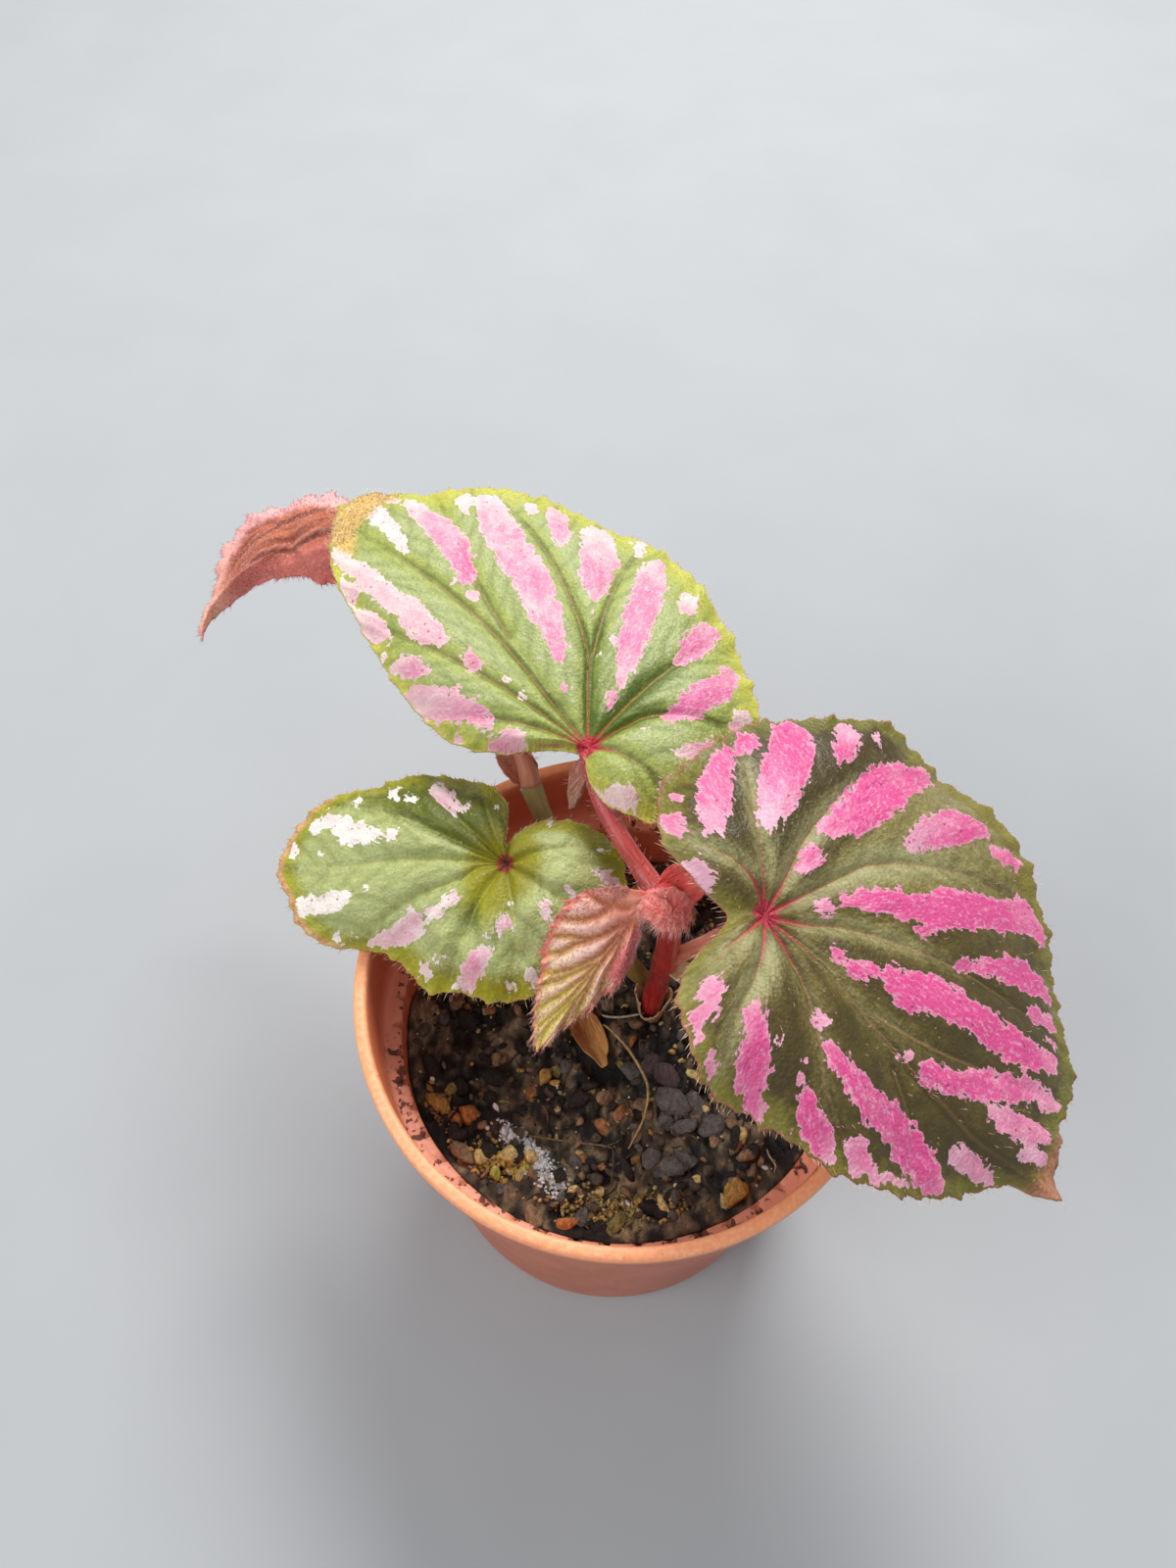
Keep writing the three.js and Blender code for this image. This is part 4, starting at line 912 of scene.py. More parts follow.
def add_camera():
    right, up, forward = camera_axes()
    lens = bpy.data.cameras.new("view")
    lens.sensor_width = 36
    lens.lens = lens.sensor_width * CAMERA["focal"] / CAMERA["high"]
    lens.clip_start = 0.01
    holder = bpy.data.objects.new("view", lens)
    bpy.context.scene.collection.objects.link(holder)
    turn = Matrix((right, up, -forward)).transposed().to_4x4()
    holder.matrix_world = Matrix.Translation(Vector(CAMERA["place"]) * 0.001) @ turn
    bpy.context.scene.camera = holder


def add_light(name, place, size, power):
    """A round lamp turned to the plant. Its place and size are in metres."""
    lamp = bpy.data.lights.new(name, "AREA")
    lamp.shape = "DISK"
    lamp.size = size
    lamp.energy = power
    holder = bpy.data.objects.new(name, lamp)
    bpy.context.scene.collection.objects.link(holder)
    holder.location = place
    holder.rotation_euler = (Vector((0, 0, 0.07)) - Vector(place)).to_track_quat("-Z", "Y").to_euler()


def add_floor():
    """A paper floor, in metres, that bends up into a wall behind the plant."""
    front, bend_at, bend, half_width = -1.6, 0.7, 0.5, 2.2
    profile = [(front, 0)] + [(y, 0) for y in np.linspace(-1.2, bend_at, 8)]
    for turn in np.linspace(0.1, math.pi / 2, 12):
        profile.append((bend_at + bend * math.sin(turn), bend * (1 - math.cos(turn))))
    profile.append((1.2, 1.4))
    mesh = bpy.data.meshes.new("floor")
    points = [(x, y, z) for y, z in profile for x in (-half_width, half_width)]
    faces = [(2 * i, 2 * i + 1, 2 * i + 3, 2 * i + 2) for i in range(len(profile) - 1)]
    mesh.from_pydata(points, [], faces)
    mesh.polygons.foreach_set("use_smooth", [True] * len(faces))
    s = Surface("floor_paper", roughness=0.85, specular=0.2)
    s.colour(s.mix(s.noise(s.object_place(), 0.02, 3), (168, 170, 172), (176, 178, 179)))
    mesh.materials.append(s.material)
    floor = bpy.data.objects.new("floor", mesh)
    bpy.context.scene.collection.objects.link(floor)


def add_studio():
    world = bpy.data.worlds.new("studio")
    world.use_nodes = True
    background = world.node_tree.nodes["Background"]
    background.inputs["Color"].default_value = (0.93, 0.96, 1, 1)
    background.inputs["Strength"].default_value = 0.58
    bpy.context.scene.world = world
    add_light("key", place=(0.12, 0.75, 0.95), size=0.5, power=13.5)
    add_light("fill", place=(-0.75, -0.35, 0.75), size=0.7, power=4.6)
    add_floor()


# Pot


def wall_radius(height):
    share = height / (POT["ledge"] - POT["ledge_thick"])
    return POT["base"] + (POT["body_top"] - POT["base"]) * share - POT["wall"]


def arc(centre, radius, start, end, count):
    turns = np.radians(np.linspace(start, end, count))
    return [(centre[0] + radius * math.cos(t), centre[1] + radius * math.sin(t)) for t in turns]


def pot_profile():
    """The pot's section, (radius, height) from under the foot over the lip, and its notched row."""
    height, lip, ledge, base, wall = (POT[key] for key in ("height", "lip", "ledge", "base", "wall"))
    low, high = POT["collar_bottom"], POT["collar_top"]
    under_ledge, under_lip = ledge - POT["ledge_thick"], height - POT["lip_height"]
    inner_lip = lip - POT["lip_width"]
    profile = [(0.01, 0), (base - 6, 0), (base - 2, 0), *arc((base - 1, 1), 1, -80, -5, 5)]
    profile += [(base + (POT["body_top"] - base) * h / under_ledge, h)
                for h in (4, 12, 22, 32, 42, 52, under_ledge - 1)]
    profile += [(POT["body_top"] + 0.1, under_ledge), (low - 0.5, under_ledge)]
    profile += arc((low - 0.5, under_ledge + 0.5), 0.5, -60, 0, 3)
    profile += [(low + 0.3, ledge + 6), (high, under_lip), *arc((lip - 0.7, under_lip + 0.7), 0.7, -80, 0, 4)]
    profile += arc((lip - 0.9, height - 0.9), 0.9, 10, 90, 6)
    profile += arc((inner_lip + 0.7, height - 0.7), 0.7, 100, 180, 5)
    profile += [(high - wall, under_lip), (low - 0.8, ledge + 6), (low - wall, ledge + 0.4)]
    profile += [(low - 1.3, ledge), (wall_radius(ledge) + 1.6, ledge), (wall_radius(ledge) + 0.2, ledge)]
    notched = len(profile) - 1
    profile += [(wall_radius(ledge), ledge - 0.3), (wall_radius(ledge - 1.4), ledge - 1.4)]
    profile += [(wall_radius(h), h) for h in (50, 30, 12, 2.2)]
    profile += [(wall_radius(POT["floor"]) - 1, POT["floor"]), (0.01, POT["floor"])]
    return np.array(profile), notched


def pot_marks(profile, notched, turns, step, random):
    """Where the pot's lip, inside, ledge, outside and foot are, and how much dirt and painted shade each
    place gets.
    """
    rows, around, per_notch = len(profile), len(turns), len(turns) // NOTCH["count"]
    order, level = np.repeat(np.arange(rows), around), np.repeat(profile[:, 1], around)
    under_lip = POT["height"] - POT["lip_height"]
    lip = smooth(level, under_lip + 0.3, under_lip + 1.3)
    within = order >= notched - 7
    inside = (within * (1 - lip)).astype(float)
    ledge = ((order >= notched - 3) & (order <= notched + 1)).astype(float)
    patchy = 0.5 + 0.5 * ripple(np.tile(turns * 7, rows), order * 0.4, 1, 6)
    # Painted shade with patchy dirt: darker down the inner wall towards the ledge, and on the ledge.
    dirt_and_shade = inside * smooth(level, 72, 62) * 0.25 * patchy + ledge * 0.35 * patchy
    grime = np.tile(np.repeat(random.random(NOTCH["count"]) ** 0.7, per_notch), rows)
    away = np.tile(np.abs(step - per_notch // 2), rows)
    dirt_and_shade += np.where(np.isin(order, (notched - 1, notched)) & (away == 0), grime, 0)
    dirt_and_shade += np.where(np.isin(order, (notched, notched + 1)) & (away <= 1), 0.5 * grime, 0)
    return {"lip": lip, "inside": inside, "ledge": ledge, "dirt_and_shade": dirt_and_shade,
            "outer": (1 - inside) * (1 - lip) * ~within, "foot": ~within * smooth(level, 2.4, 0.6)}


def add_pot():
    profile, notched = pot_profile()
    around = POT["around"]
    turns = 2 * math.pi * (np.arange(around) + 0.5) / around
    per_notch = around // NOTCH["count"]
    step = np.arange(around) % per_notch
    in_notch = step == per_notch // 2
    random = np.random.default_rng(5)
    depths = NOTCH["depth"] * (0.7 + 0.6 * random.random(around))
    radii, heights = (np.repeat(column[:, None], around, axis=1) for column in profile.T)
    for row, share, drop in ((notched, 1.0, 0.5), (notched + 1, 0.9, 0.7)):
        radii[row, in_notch] += depths[in_notch] * share
        heights[row, in_notch] -= drop
    wobble = 0.12 * np.sin(2 * turns + 0.7) + 0.05 * np.sin(5 * turns)
    radii = radii + wobble[None] * (profile[:, 1:] / POT["height"]) ** 2 * (profile[:, :1] > 30)
    points = np.vstack([ring(radii, turns, heights).reshape(-1, 3), [[0, 0, 0], [0, 0, POT["floor"]]]])
    marks = pot_marks(profile, notched, turns, step, random)
    marks = {key: np.concatenate([values, [0, 0]]) for key, values in marks.items()}
    faces = barrel_faces(len(profile), around)
    drill_drains(add_piece("pot_body", points, faces, pot_surface(), ("pot",), marks))


def drill_drains(pot):
    """Cuts the drain holes out of the pot's floor."""
    drills = []
    for turn in full_turn(DRAIN["count"]):
        path = ring(DRAIN["ring"], turn, 0) + np.array([[0, 0, -4], [0, 0, 0], [0, 0, 4]])
        drills.append(tube_part(path, [DRAIN["radius"]] * 3, 28))
    points, faces, _ = join_parts(drills)
    cutter = bpy.data.objects.new("drain_drills", bpy.data.meshes.new("drain_drills"))
    cutter.data.from_pydata((points * 0.001).tolist(), [], [f.tolist() for group in faces for f in group])
    bpy.context.scene.collection.objects.link(cutter)
    holes = pot.modifiers.new("drain", "BOOLEAN")
    holes.object, holes.operation, holes.solver = cutter, "DIFFERENCE", "EXACT"
    graph = bpy.context.evaluated_depsgraph_get()
    drilled = bpy.data.meshes.new_from_object(pot.evaluated_get(graph))
    pot.modifiers.clear()
    pot.data = drilled
    bpy.data.objects.remove(cutter)


# Potting mix


# The line along which the brown bract lies on the mix.
BRACT_SEAT = [(-8.5, 2.6, -2.6, -8.4)]


def soil_height(x, y):
    swell = np.sin(x * 0.31 + 1.3) * np.cos(y * 0.27 - 0.6) + 0.5 * np.sin(x * 0.11 - y * 0.53)
    return np.minimum(SOIL["level"] - SOIL["slope"] * y + SOIL["ripple"] * swell, SOIL["ceiling"])


def crumb(x, y):
    """Fine relief of the mix: fibrous crumbs of several sizes, pressed flat by the brown bract."""
    lumps = (0.75 * ripple(x, y, 3.1, 31) + 0.7 * ripple(x, y * 0.7, 1.5, 32)
             + 0.42 * ripple(x * 1.3, y * 0.6, 0.75, 33))
    away = segment_distance(np.asarray(x, float), np.asarray(y, float), BRACT_SEAT)
    return lumps * (0.15 + 0.85 * smooth(away, 2.4, 4.4)) - 0.5 * smooth(away, 4.0, 2.6)


def over_mix(x, y, lift):
    """A point that far over the mix."""
    return np.array([x, y, soil_height(x, y) + crumb(x, y) + lift])


# Grains that catch the eye: x, y, radius, colour.
STONES = [
    (-31.6, -15.4, 1.7, "ochre"), (-29.6, -13.2, 1.1, "olive"), (-26.2, -17.4, 2.3, "rust"),
    (-28, -18.8, 1.2, "rust"), (-23.2, -25.2, 1.5, "straw"), (-20.7, -28.1, 1.2, "lime"),
    (-18.6, -24.6, 1.7, "straw"), (-16.7, -28.3, 1.1, "straw"), (-15.2, -24.6, 1.6, "straw"),
    (-7.6, -30.8, 1.0, "straw"), (-3.1, -30.4, 1.1, "straw"),
    (-6.6, -24.1, 0.8, "straw"), (-13.3, -10.3, 1.8, "ochre"), (-11.4, -9.2, 1.2, "olive"),
    (-2.7, -14.6, 1.7, "bark"), (0.2, -17.3, 1.4, "rust_dark"), (-2.7, -19.4, 1.5, "rust_dark"),
    (0.3, -7.2, 1.1, "olive"), (-3.8, -5.2, 1.0, "straw"), (-22.2, -7.3, 1.4, "bark"),
    (20.7, -20.9, 1.1, "straw"), (19.2, -30.2, 1.8, "ochre"), (17.4, -31.4, 1.0, "straw"),
    (-0.5, -35.8, 1.5, "olive"), (-8.8, -35.9, 1.4, "rust"), (-6.3, -35.2, 1.6, "slate"),
    (-14, -34.6, 1.6, "bark"), (13.4, -9.8, 1.3, "straw"), (-26.7, -24.7, 1.9, "bark"),
    (13, -28, 1.0, "straw"), (6, -7.2, 2.4, "plum"), (8.4, -10.4, 2.3, "plum"),
    (9.4, -14.8, 2.5, "slate"), (13, -15.4, 2.7, "slate"), (15.8, -18.2, 2.5, "slate"),
    (11, -18.6, 2.2, "slate"), (8, -17.6, 1.7, "slate"), (5.2, -24.8, 1.8, "slate"),
    (8.2, -26.4, 2.2, "slate"), (11.6, -25, 2.0, "slate"), (2.2, -8.6, 1.9, "slate"),
    (16.4, -21.3, 1.2, "bark"), (7.5, -33, 1.3, "straw"), (3.4, -32.3, 1.1, "ochre"),
    (31.1, -20.6, 0.9, "straw"), (24, -24.6, 1.0, "bark"), (-30.4, 3.6, 1.6, "bark"),
    (28, 9, 1.7, "bark"), (14, 24, 1.8, "ochre"), (-12, 27, 1.7, "bark"), (3, 30, 1.5, "straw"),
]
GRAIN_COLOURS = {
    "ochre": (206, 158, 78), "olive": (156, 142, 82), "rust": (212, 138, 74), "straw": (232, 204, 134),
    "lime": (206, 200, 84), "pearl": (255, 255, 252), "frost": (230, 236, 238), "bark": (154, 123, 92),
    "rust_dark": (172, 118, 72), "plum": (96, 78, 80), "slate": (106, 101, 95), "peat": (38, 35, 32),
    "coffee": (92, 79, 64),
}


def icosphere(levels):
    ball = bmesh.new()
    bmesh.ops.create_icosphere(ball, subdivisions=levels, radius=1)
    points = np.array([v.co[:] for v in ball.verts])
    triangles = np.array([[v.index for v in f.verts] for f in ball.faces])
    ball.free()
    return points, triangles


def lump_part(shape, centre, radius, colour, random, flat=0.75):
    """A grain or bark lump: a ball with dents and flats, each point a little lighter or darker."""
    points, triangles = shape
    size = radius * np.array([0.85 + 0.75 * random.random(), 0.65 + 0.4 * random.random(),
                              flat * (0.7 + 0.4 * random.random())])
    points = points * (1 + 0.26 * (random.random(len(points))[:, None] - 0.5))
    for toward in random.normal(size=(9, 3)):
        toward = toward / np.linalg.norm(toward)
        over = np.maximum(points @ toward - 0.5 - 0.3 * random.random(), 0)
        points = points - 0.92 * over[:, None] * toward
    turn = turn_matrix(random.random() * 360, (random.random() - 0.5) * 50, (random.random() - 0.5) * 50)
    body = (points * size) @ turn.T * 1.15 + centre
    shade = 0.8 + 0.4 * random.random(len(points))
    return body, [triangles], {"tint": light(GRAIN_COLOURS[colour])[None] * shade[:, None]}


# Strips of small grains: their line (x, y), how far they stray, how many, their radius and colours.
GRIT = [
    # The first two strips are white grains laid along the wet mix's shine: a painted highlight.
    ([(-19.4, -20.8), (-15.6, -23.4), (-13, -26.4)], 1.4, 900, 0.31, ("pearl", "pearl", "frost")),
    ([(-14.5, -25), (-11.5, -29), (-8.6, -31)], 2, 300, 0.24, ("pearl", "frost")),
    ([(-24, -24), (-19, -26.4), (-15, -25.6)], 2.2, 190, 0.4, ("straw", "ochre", "lime")),
    ([(-9, -32.6), (0, -33.4), (10, -32.4)], 2.4, 620, 0.3, ("straw", "ochre", "bark", "coffee", "olive")),
    ([(-33, -13), (-28, -22), (-22, -29)], 2.6, 160, 0.34, ("ochre", "bark", "rust_dark")),
]


def grit_parts(random, line, spread, count, radius, colours):
    knots = np.array(line, float)
    shape = icosphere(1)
    parts = []
    for _ in range(count):
        at = random.random() * (len(knots) - 1)
        index = int(at)
        middle = knots[index] + (knots[index + 1] - knots[index]) * (at - index)
        x, y = middle + random.normal(0, spread / 2, 2)
        size = radius * (0.5 + random.random())
        if math.hypot(x, y) + size > MIX_REACH:
            continue
        colour = colours[int(random.random() * len(colours))]
        parts.append(lump_part(shape, over_mix(x, y, 0.3 * size), size, colour, random, 0.9))
    return parts


def add_soil_bed(surface):
    """The bed of mix: its rough top in rings, and its side down to the floor of the pot."""
    rings, around = 104, 336
    bottom = POT["floor"] + 0.3
    turns = full_turn(around)
    lowest = SOIL["level"] - SOIL["slope"] * POT["body_top"] * np.sin(turns) - SOIL["ripple"]
    edge = wall_radius(lowest) - 0.15
    shares = (np.arange(1, rings + 1) / rings)[:, None]
    x, y = shares * edge * np.cos(turns), shares * edge * np.sin(turns)
    z = soil_height(x, y) + crumb(x, y) * smooth(shares, 1.0, 0.9) ** 0.5
    rows = [np.stack([x, y, z], axis=-1).reshape(-1, 3)]
    for share in (0.7, 0.35, 0):
        level = bottom + (z[-1] - bottom) * share
        rows.append(ring(wall_radius(level) - 0.25, turns, level))
    points = np.vstack([*rows, [over_mix(0.0, 0.0, 0), [0, 0, bottom]]])
    faces = barrel_faces(len(points) // around, around, inward=True)
    x, y = points[:, 0], points[:, 1]
    mottle, speck = 0.5 + 0.5 * ripple(x, y, 4.5, 41), 0.5 + 0.5 * ripple(x, y * 0.6, 0.9, 42)
    black, brown, tan = (light(colour) for colour in ((29, 27, 26), (142, 122, 96), (226, 192, 134)))
    tint = black + (brown - black) * smooth((mottle * 0.6 + speck * 0.5)[:, None], 0.35, 0.85)
    # Painted shade: the mix is near black in the hollows of its crumbs and full colour on their tops.
    tint = tint * (0.3 + 0.95 * smooth(crumb(x, y), -0.7, 0.5)[:, None])
    sandy = smooth(ripple(x, y, 6, 43), 0.25, 0.8) * smooth(y, -22, -33)
    tint = tint + (tan - tint) * (sandy * smooth(speck, 0.45, 0.75))[:, None]
    add_piece("soil_bed", points, faces, surface, ("soil",), {"tint": tint})


# Scattered grains: how many there are, and the share of each colour.
LOOSE_GRAINS = 1500
GRAIN_ODDS = {"peat": 0.28, "coffee": 0.22, "bark": 0.14, "straw": 0.15, "ochre": 0.06, "rust_dark": 0.04,
              "olive": 0.05, "slate": 0.03, "pearl": 0.03}


def add_soil_grains(surface, random):
    """The stones that catch the eye, grains scattered over the mix, and strips of small grains."""
    tiny_ball, fine_ball, coarse_ball = (icosphere(levels) for levels in (1, 2, 3))
    parts = []
    for x, y, radius, colour in STONES:
        flat = 0.45 if colour in ("slate", "plum") else 0.8
        parts.append(lump_part(coarse_ball, over_mix(x, y, 0.25 * radius), radius, colour, random, flat))
    kinds, odds = list(GRAIN_ODDS), np.cumsum(list(GRAIN_ODDS.values()))
    feet = [STEMS["main_stem"][1], STEMS["side_cane"][1]]
    for _ in range(LOOSE_GRAINS):
        turn, out = random.random() * 2 * math.pi, (MIX_REACH - 0.8) * math.sqrt(random.random())
        x, y = out * math.cos(turn), out * math.sin(turn)
        colour = kinds[int(np.searchsorted(odds, random.random() * 0.999))]
        small = colour in ("straw", "ochre", "pearl", "olive")
        radius = 0.22 + (0.5 if small else 1.15) * random.random() ** 2.4
        if colour == "peat":
            radius *= 1.3
        part_random = np.random.default_rng(int(random.random() * 1e6))
        at_foot = min(math.hypot(x - foot[0], y - foot[1]) for foot in feet) < 2.6 + radius
        at_bract = segment_distance(np.array([x]), np.array([y]), BRACT_SEAT)[0] < 3.2 + radius
        if at_foot or at_bract or out + radius > MIX_REACH or float(crumb(x, y)) < -1.1:
            continue
        ball = fine_ball if radius > 0.5 else tiny_ball
        parts.append(lump_part(ball, over_mix(x, y, 0.2 * radius), radius, colour, part_random))
    for strip in GRIT:
        parts += grit_parts(random, *strip)
    add_parts("soil_grains", parts, surface)


def add_soil_fibres(surface, random):
    """Short bent fibres that lie on the mix."""
    threads, count = [], 230
    steps = np.linspace(-0.5, 0.5, 7)
    for _ in range(count):
        turn, out = random.random() * 2 * math.pi, (MIX_REACH - 3) * math.sqrt(random.random())
        heading = random.random() * math.pi * 2
        length, bend = 2 + 5 * random.random() ** 2, (random.random() - 0.5) * 1.6
        along, aside = length * steps, bend * (4 * steps**2)
        x = out * math.cos(turn) + along * math.cos(heading) - aside * math.sin(heading)
        y = out * math.sin(turn) + along * math.sin(heading) + aside * math.cos(heading)
        tone, thick = random.random(), 0.07 + 0.12 * random.random()
        if np.hypot(x, y).max() >= MIX_REACH - 0.6:
            continue
        z = soil_height(x, y) + crumb(x, y) + 0.12 + 0.35 * (1 - 4 * steps**2) * random.random()
        colour = (150, 118, 78) if tone > 0.82 else (74, 52, 36) if tone > 0.45 else (34, 26, 21)
        radii = thick * (1 - 0.75 * np.abs(2 * steps) ** 2)
        threads.append(tube_part(np.stack([x, y, z], axis=1), radii, 4, colour))
    add_parts("soil_fibres", threads, surface)


# Fine dead roots that lie on the mix: points (x, y, height over the mix), radius and colour.
ROOTS = [
    ([(-4.4, 3.4, -0.3), (-2.6, 1.6, 1.0), (-0.1, 1.0, 1.5), (2.6, 1.3, 2.0), (4.4, 1.9, 2.2)],
     0.24, (214, 206, 188)),
    ([(-3.4, 0.4, -0.2), (-2.4, -1.2, 2.2), (1.2, -5.5, 3.9), (3.8, -9.7, 3.8), (4.9, -13.4, 3.2),
      (4.2, -18, 1.6), (2.2, -22.1, 0.2), (1.6, -23.2, -0.3)], 0.27, (196, 170, 116)),
    ([(-15.5, -21.2, -0.2), (-14.5, -21.5, 0.6), (-8.6, -22.0, 0.9), (-2.0, -23.0, 0.6),
      (-1.0, -23.2, -0.2)], 0.2, (134, 118, 84)),
    ([(25.2, -22.6, -0.2), (25.4, -23.9, 0.7), (26.4, -25.4, 0.8), (26.2, -26.4, 0.1)],
     0.17, (190, 176, 140)),
    ([(-1.2, -22.4, 0.0), (-1.0, -26.0, 1.2), (-1.4, -30, 0.3)], 0.14, (110, 96, 78)),
]


def add_roots(surface):
    parts = []
    for knots, radius, colour in ROOTS:
        line, _ = curve_points([(x, y, soil_height(x, y) + lift) for x, y, lift in knots], False, 8)
        path, _ = even_points(line, 36, False)
        shares = np.linspace(0, 1, 36)
        radii = radius * (0.55 + 0.45 * np.sin(np.pi * shares)) * (1 + 0.12 * np.sin(shares * 60))
        parts.append(tube_part(path, radii, 6, colour))
    add_parts("dead_roots", parts, surface)


def add_soil():
    surface, random = soil_surface(), np.random.default_rng(77)
    add_soil_bed(surface)
    add_soil_grains(surface, random)
    add_soil_fibres(surface, random)
    add_roots(surface)


# Leaves


def side_veins(veins, theta, reach, random):
    """Side veins that leave each main vein forward and outward, as short segments."""
    segments, pieces = [], 5
    for _, knots in veins:
        angles, radii = zip(*knots)
        limit = float(np.interp((angles[-1] - theta[0]) % 360 + theta[0], theta, reach))
        for side in (-1, 1):
            radius = 7 + 2.5 * random.random() + (1.5 if side > 0 else 0)
            while radius < 0.88 * limit:
                start = math.radians(np.interp(radius, radii, angles))
                x, y = radius * math.cos(start), radius * math.sin(start)
                heading = start + side * math.radians(46 + 10 * random.random())
                length = 5 + 0.16 * radius + 2 * random.random()
                for _ in range(pieces):
                    nx, ny = x + length / pieces * math.cos(heading), y + length / pieces * math.sin(heading)
                    segments.append((x, y, nx, ny))
                    x, y = nx, ny
                    heading -= side * math.radians(7)
                radius += 4.6 + 1.8 * random.random()
    return segments


def net_veins(segments, random):
    """Finer veins that join the side veins across."""
    links = []
    for x0, y0, x1, y1 in segments[::2]:
        heading = math.atan2(y1 - y0, x1 - x0) + math.radians(70 + 40 * random.random())
        length = 1.6 + 1.6 * random.random()
        links.append((x0, y0, x0 + length * math.cos(heading), y0 + length * math.sin(heading)))
    return links


def leaf_grid(leaf):
    """Places and veins on a grid that runs out from the hub, along the veins."""
    columns, rings = 8 * leaf["sectors"], leaf["rings"]
    line, _ = curve_points([polar(*corner) for corner in leaf["outline"]], True)
    margin, _ = even_points(line, columns, True)
    reach = np.hypot(margin[:, 0], margin[:, 1])
    theta = np.degrees(np.unwrap(np.arctan2(margin[:, 1], margin[:, 0])))
    shares = (1 - (1 - np.arange(1, rings + 1) / rings) ** 1.15)[:, None]
    radius = shares * reach[None]
    none = np.zeros_like(radius)
    grid = SimpleNamespace(columns=columns, rings=rings, reach=reach, theta=theta, shares=shares,
                           radius=radius, turn=np.radians(theta + none), vein=none + 60, apart=none,
                           between=none)
    if leaf["veins"]:
        follow_veins(grid, leaf["veins"])
    return grid


def follow_veins(grid, veins):
    """Bends the grid along the veins, with the distance to them and the place between them."""
    columns, theta, shares, radius = grid.columns, grid.theta, grid.shares[:, 0], grid.radius
    ends = []
    for start, knots in veins:
        angles, radii = zip(*knots)
        shift = theta[0] + (angles[-1] - theta[0]) % 360 - angles[-1]
        angles = [angle + shift for angle in angles]
        ends.append((int(np.argmin(np.abs(theta - angles[-1]))), start, angles, radii))
    ends.sort(key=lambda entry: entry[0])
    hold = smooth(shares, 1.0, 0.93)
    offsets = np.stack([(np.interp(shares * grid.reach[column], radii, angles) - theta[column]) * hold
                        for column, _, angles, radii in ends])
    at, each = [entry[0] for entry in ends], np.arange(columns)
    bend = np.stack([np.interp(each, at, row, period=columns) for row in offsets.T])
    angle_here = theta[None] + bend
    at_radius = [np.interp(radius, radii, angles) for _, _, angles, radii in ends]
    for vein_angle, (_, start, _, _) in zip(at_radius, ends):
        gap = (angle_here - vein_angle + 180) % 360 - 180
        away = np.where(np.abs(gap) > 60, radius, radius * np.radians(np.abs(gap)))
        grid.vein = np.minimum(grid.vein, away + np.maximum(start - radius, 0))
    order = np.searchsorted(at, each, side="right")
    stack = np.stack(at_radius)
    lower = stack[(order - 1) % len(ends), :, each].T - np.where(order == 0, 360, 0)
    upper = stack[order % len(ends), :, each].T + np.where(order == len(ends), 360, 0)
    grid.apart = upper - lower
    grid.between = np.clip((angle_here - lower) / np.maximum(grid.apart, 1e-6), 0, 1)
    grid.turn = np.radians(angle_here)


def droop_across(x, y):
    """Place across the drooping leaf from -1 to 1, and the half width there."""
    line, _ = curve_points(DROOP_AXIS, False, 20)
    gaps = np.hypot(x[..., None] - line[:, 0], y[..., None] - line[:, 1])
    nearest = gaps.argmin(axis=-1)
    tangents = np.gradient(line, axis=0)[nearest]
    side = np.sign(tangents[..., 0] * (y - line[nearest, 1]) - tangents[..., 1] * (x - line[nearest, 0]))
    width = np.interp(nearest / (len(line) - 1), *zip(*DROOP_WIDTHS))
    return side * gaps.min(axis=-1) / width, width


def tooth_height(columns, reach, seed, size, per_tooth=8, sharp=1.3):
    """Teeth of the margin, every third one large; a low value of sharp rounds them into scallops."""
    index = np.arange(columns)
    share = (index % per_tooth) / per_tooth
    large = (index // per_tooth) % TOOTH["every"] == 0
    height = np.where(large, TOOTH["large"], TOOTH["small"]) * (1 - np.abs(2 * share - 1)) ** sharp
    small = 0.3 * (index % 2) * np.random.default_rng(seed).random(columns)
    return np.where(reach < TOOTH["clear"], 0, height * size + small)


def blade_plan(name, leaf, grid):
    """Places on the blade as seen from above, with its teeth, drip tip and tucks."""
    per_tooth, sharp = (10, 0.7) if name == "leaf_drooping" else (8, 1.3)
    teeth = tooth_height(grid.columns, grid.reach, leaf["seed"], leaf["teeth"], per_tooth, sharp)
    grow = teeth[None] * smooth(grid.shares, 0.955, 1.0) ** 1.4
    if "drip" in leaf:
        drip = leaf["drip"]
        aside = (grid.theta - drip["angle"] + 180) % 360 - 180
        grow = grow + drip["length"] * bell(aside, drip["width"]) * smooth(grid.shares, 0.88, 1.0) ** 1.5
    radius = grid.radius + grow
    x, y = radius * np.cos(grid.turn), radius * np.sin(grid.turn)
    if name == "leaf_drooping":
        axis_y = np.interp(x, *zip(*DROOP_AXIS))
        tuck = DROOP["tuck"] * smooth(x, -2, 19) + DROOP["tail_tuck"] * smooth(x, 17, 24)
        y = np.where(y > axis_y, y - (y - axis_y) * tuck, y)
    return x, y


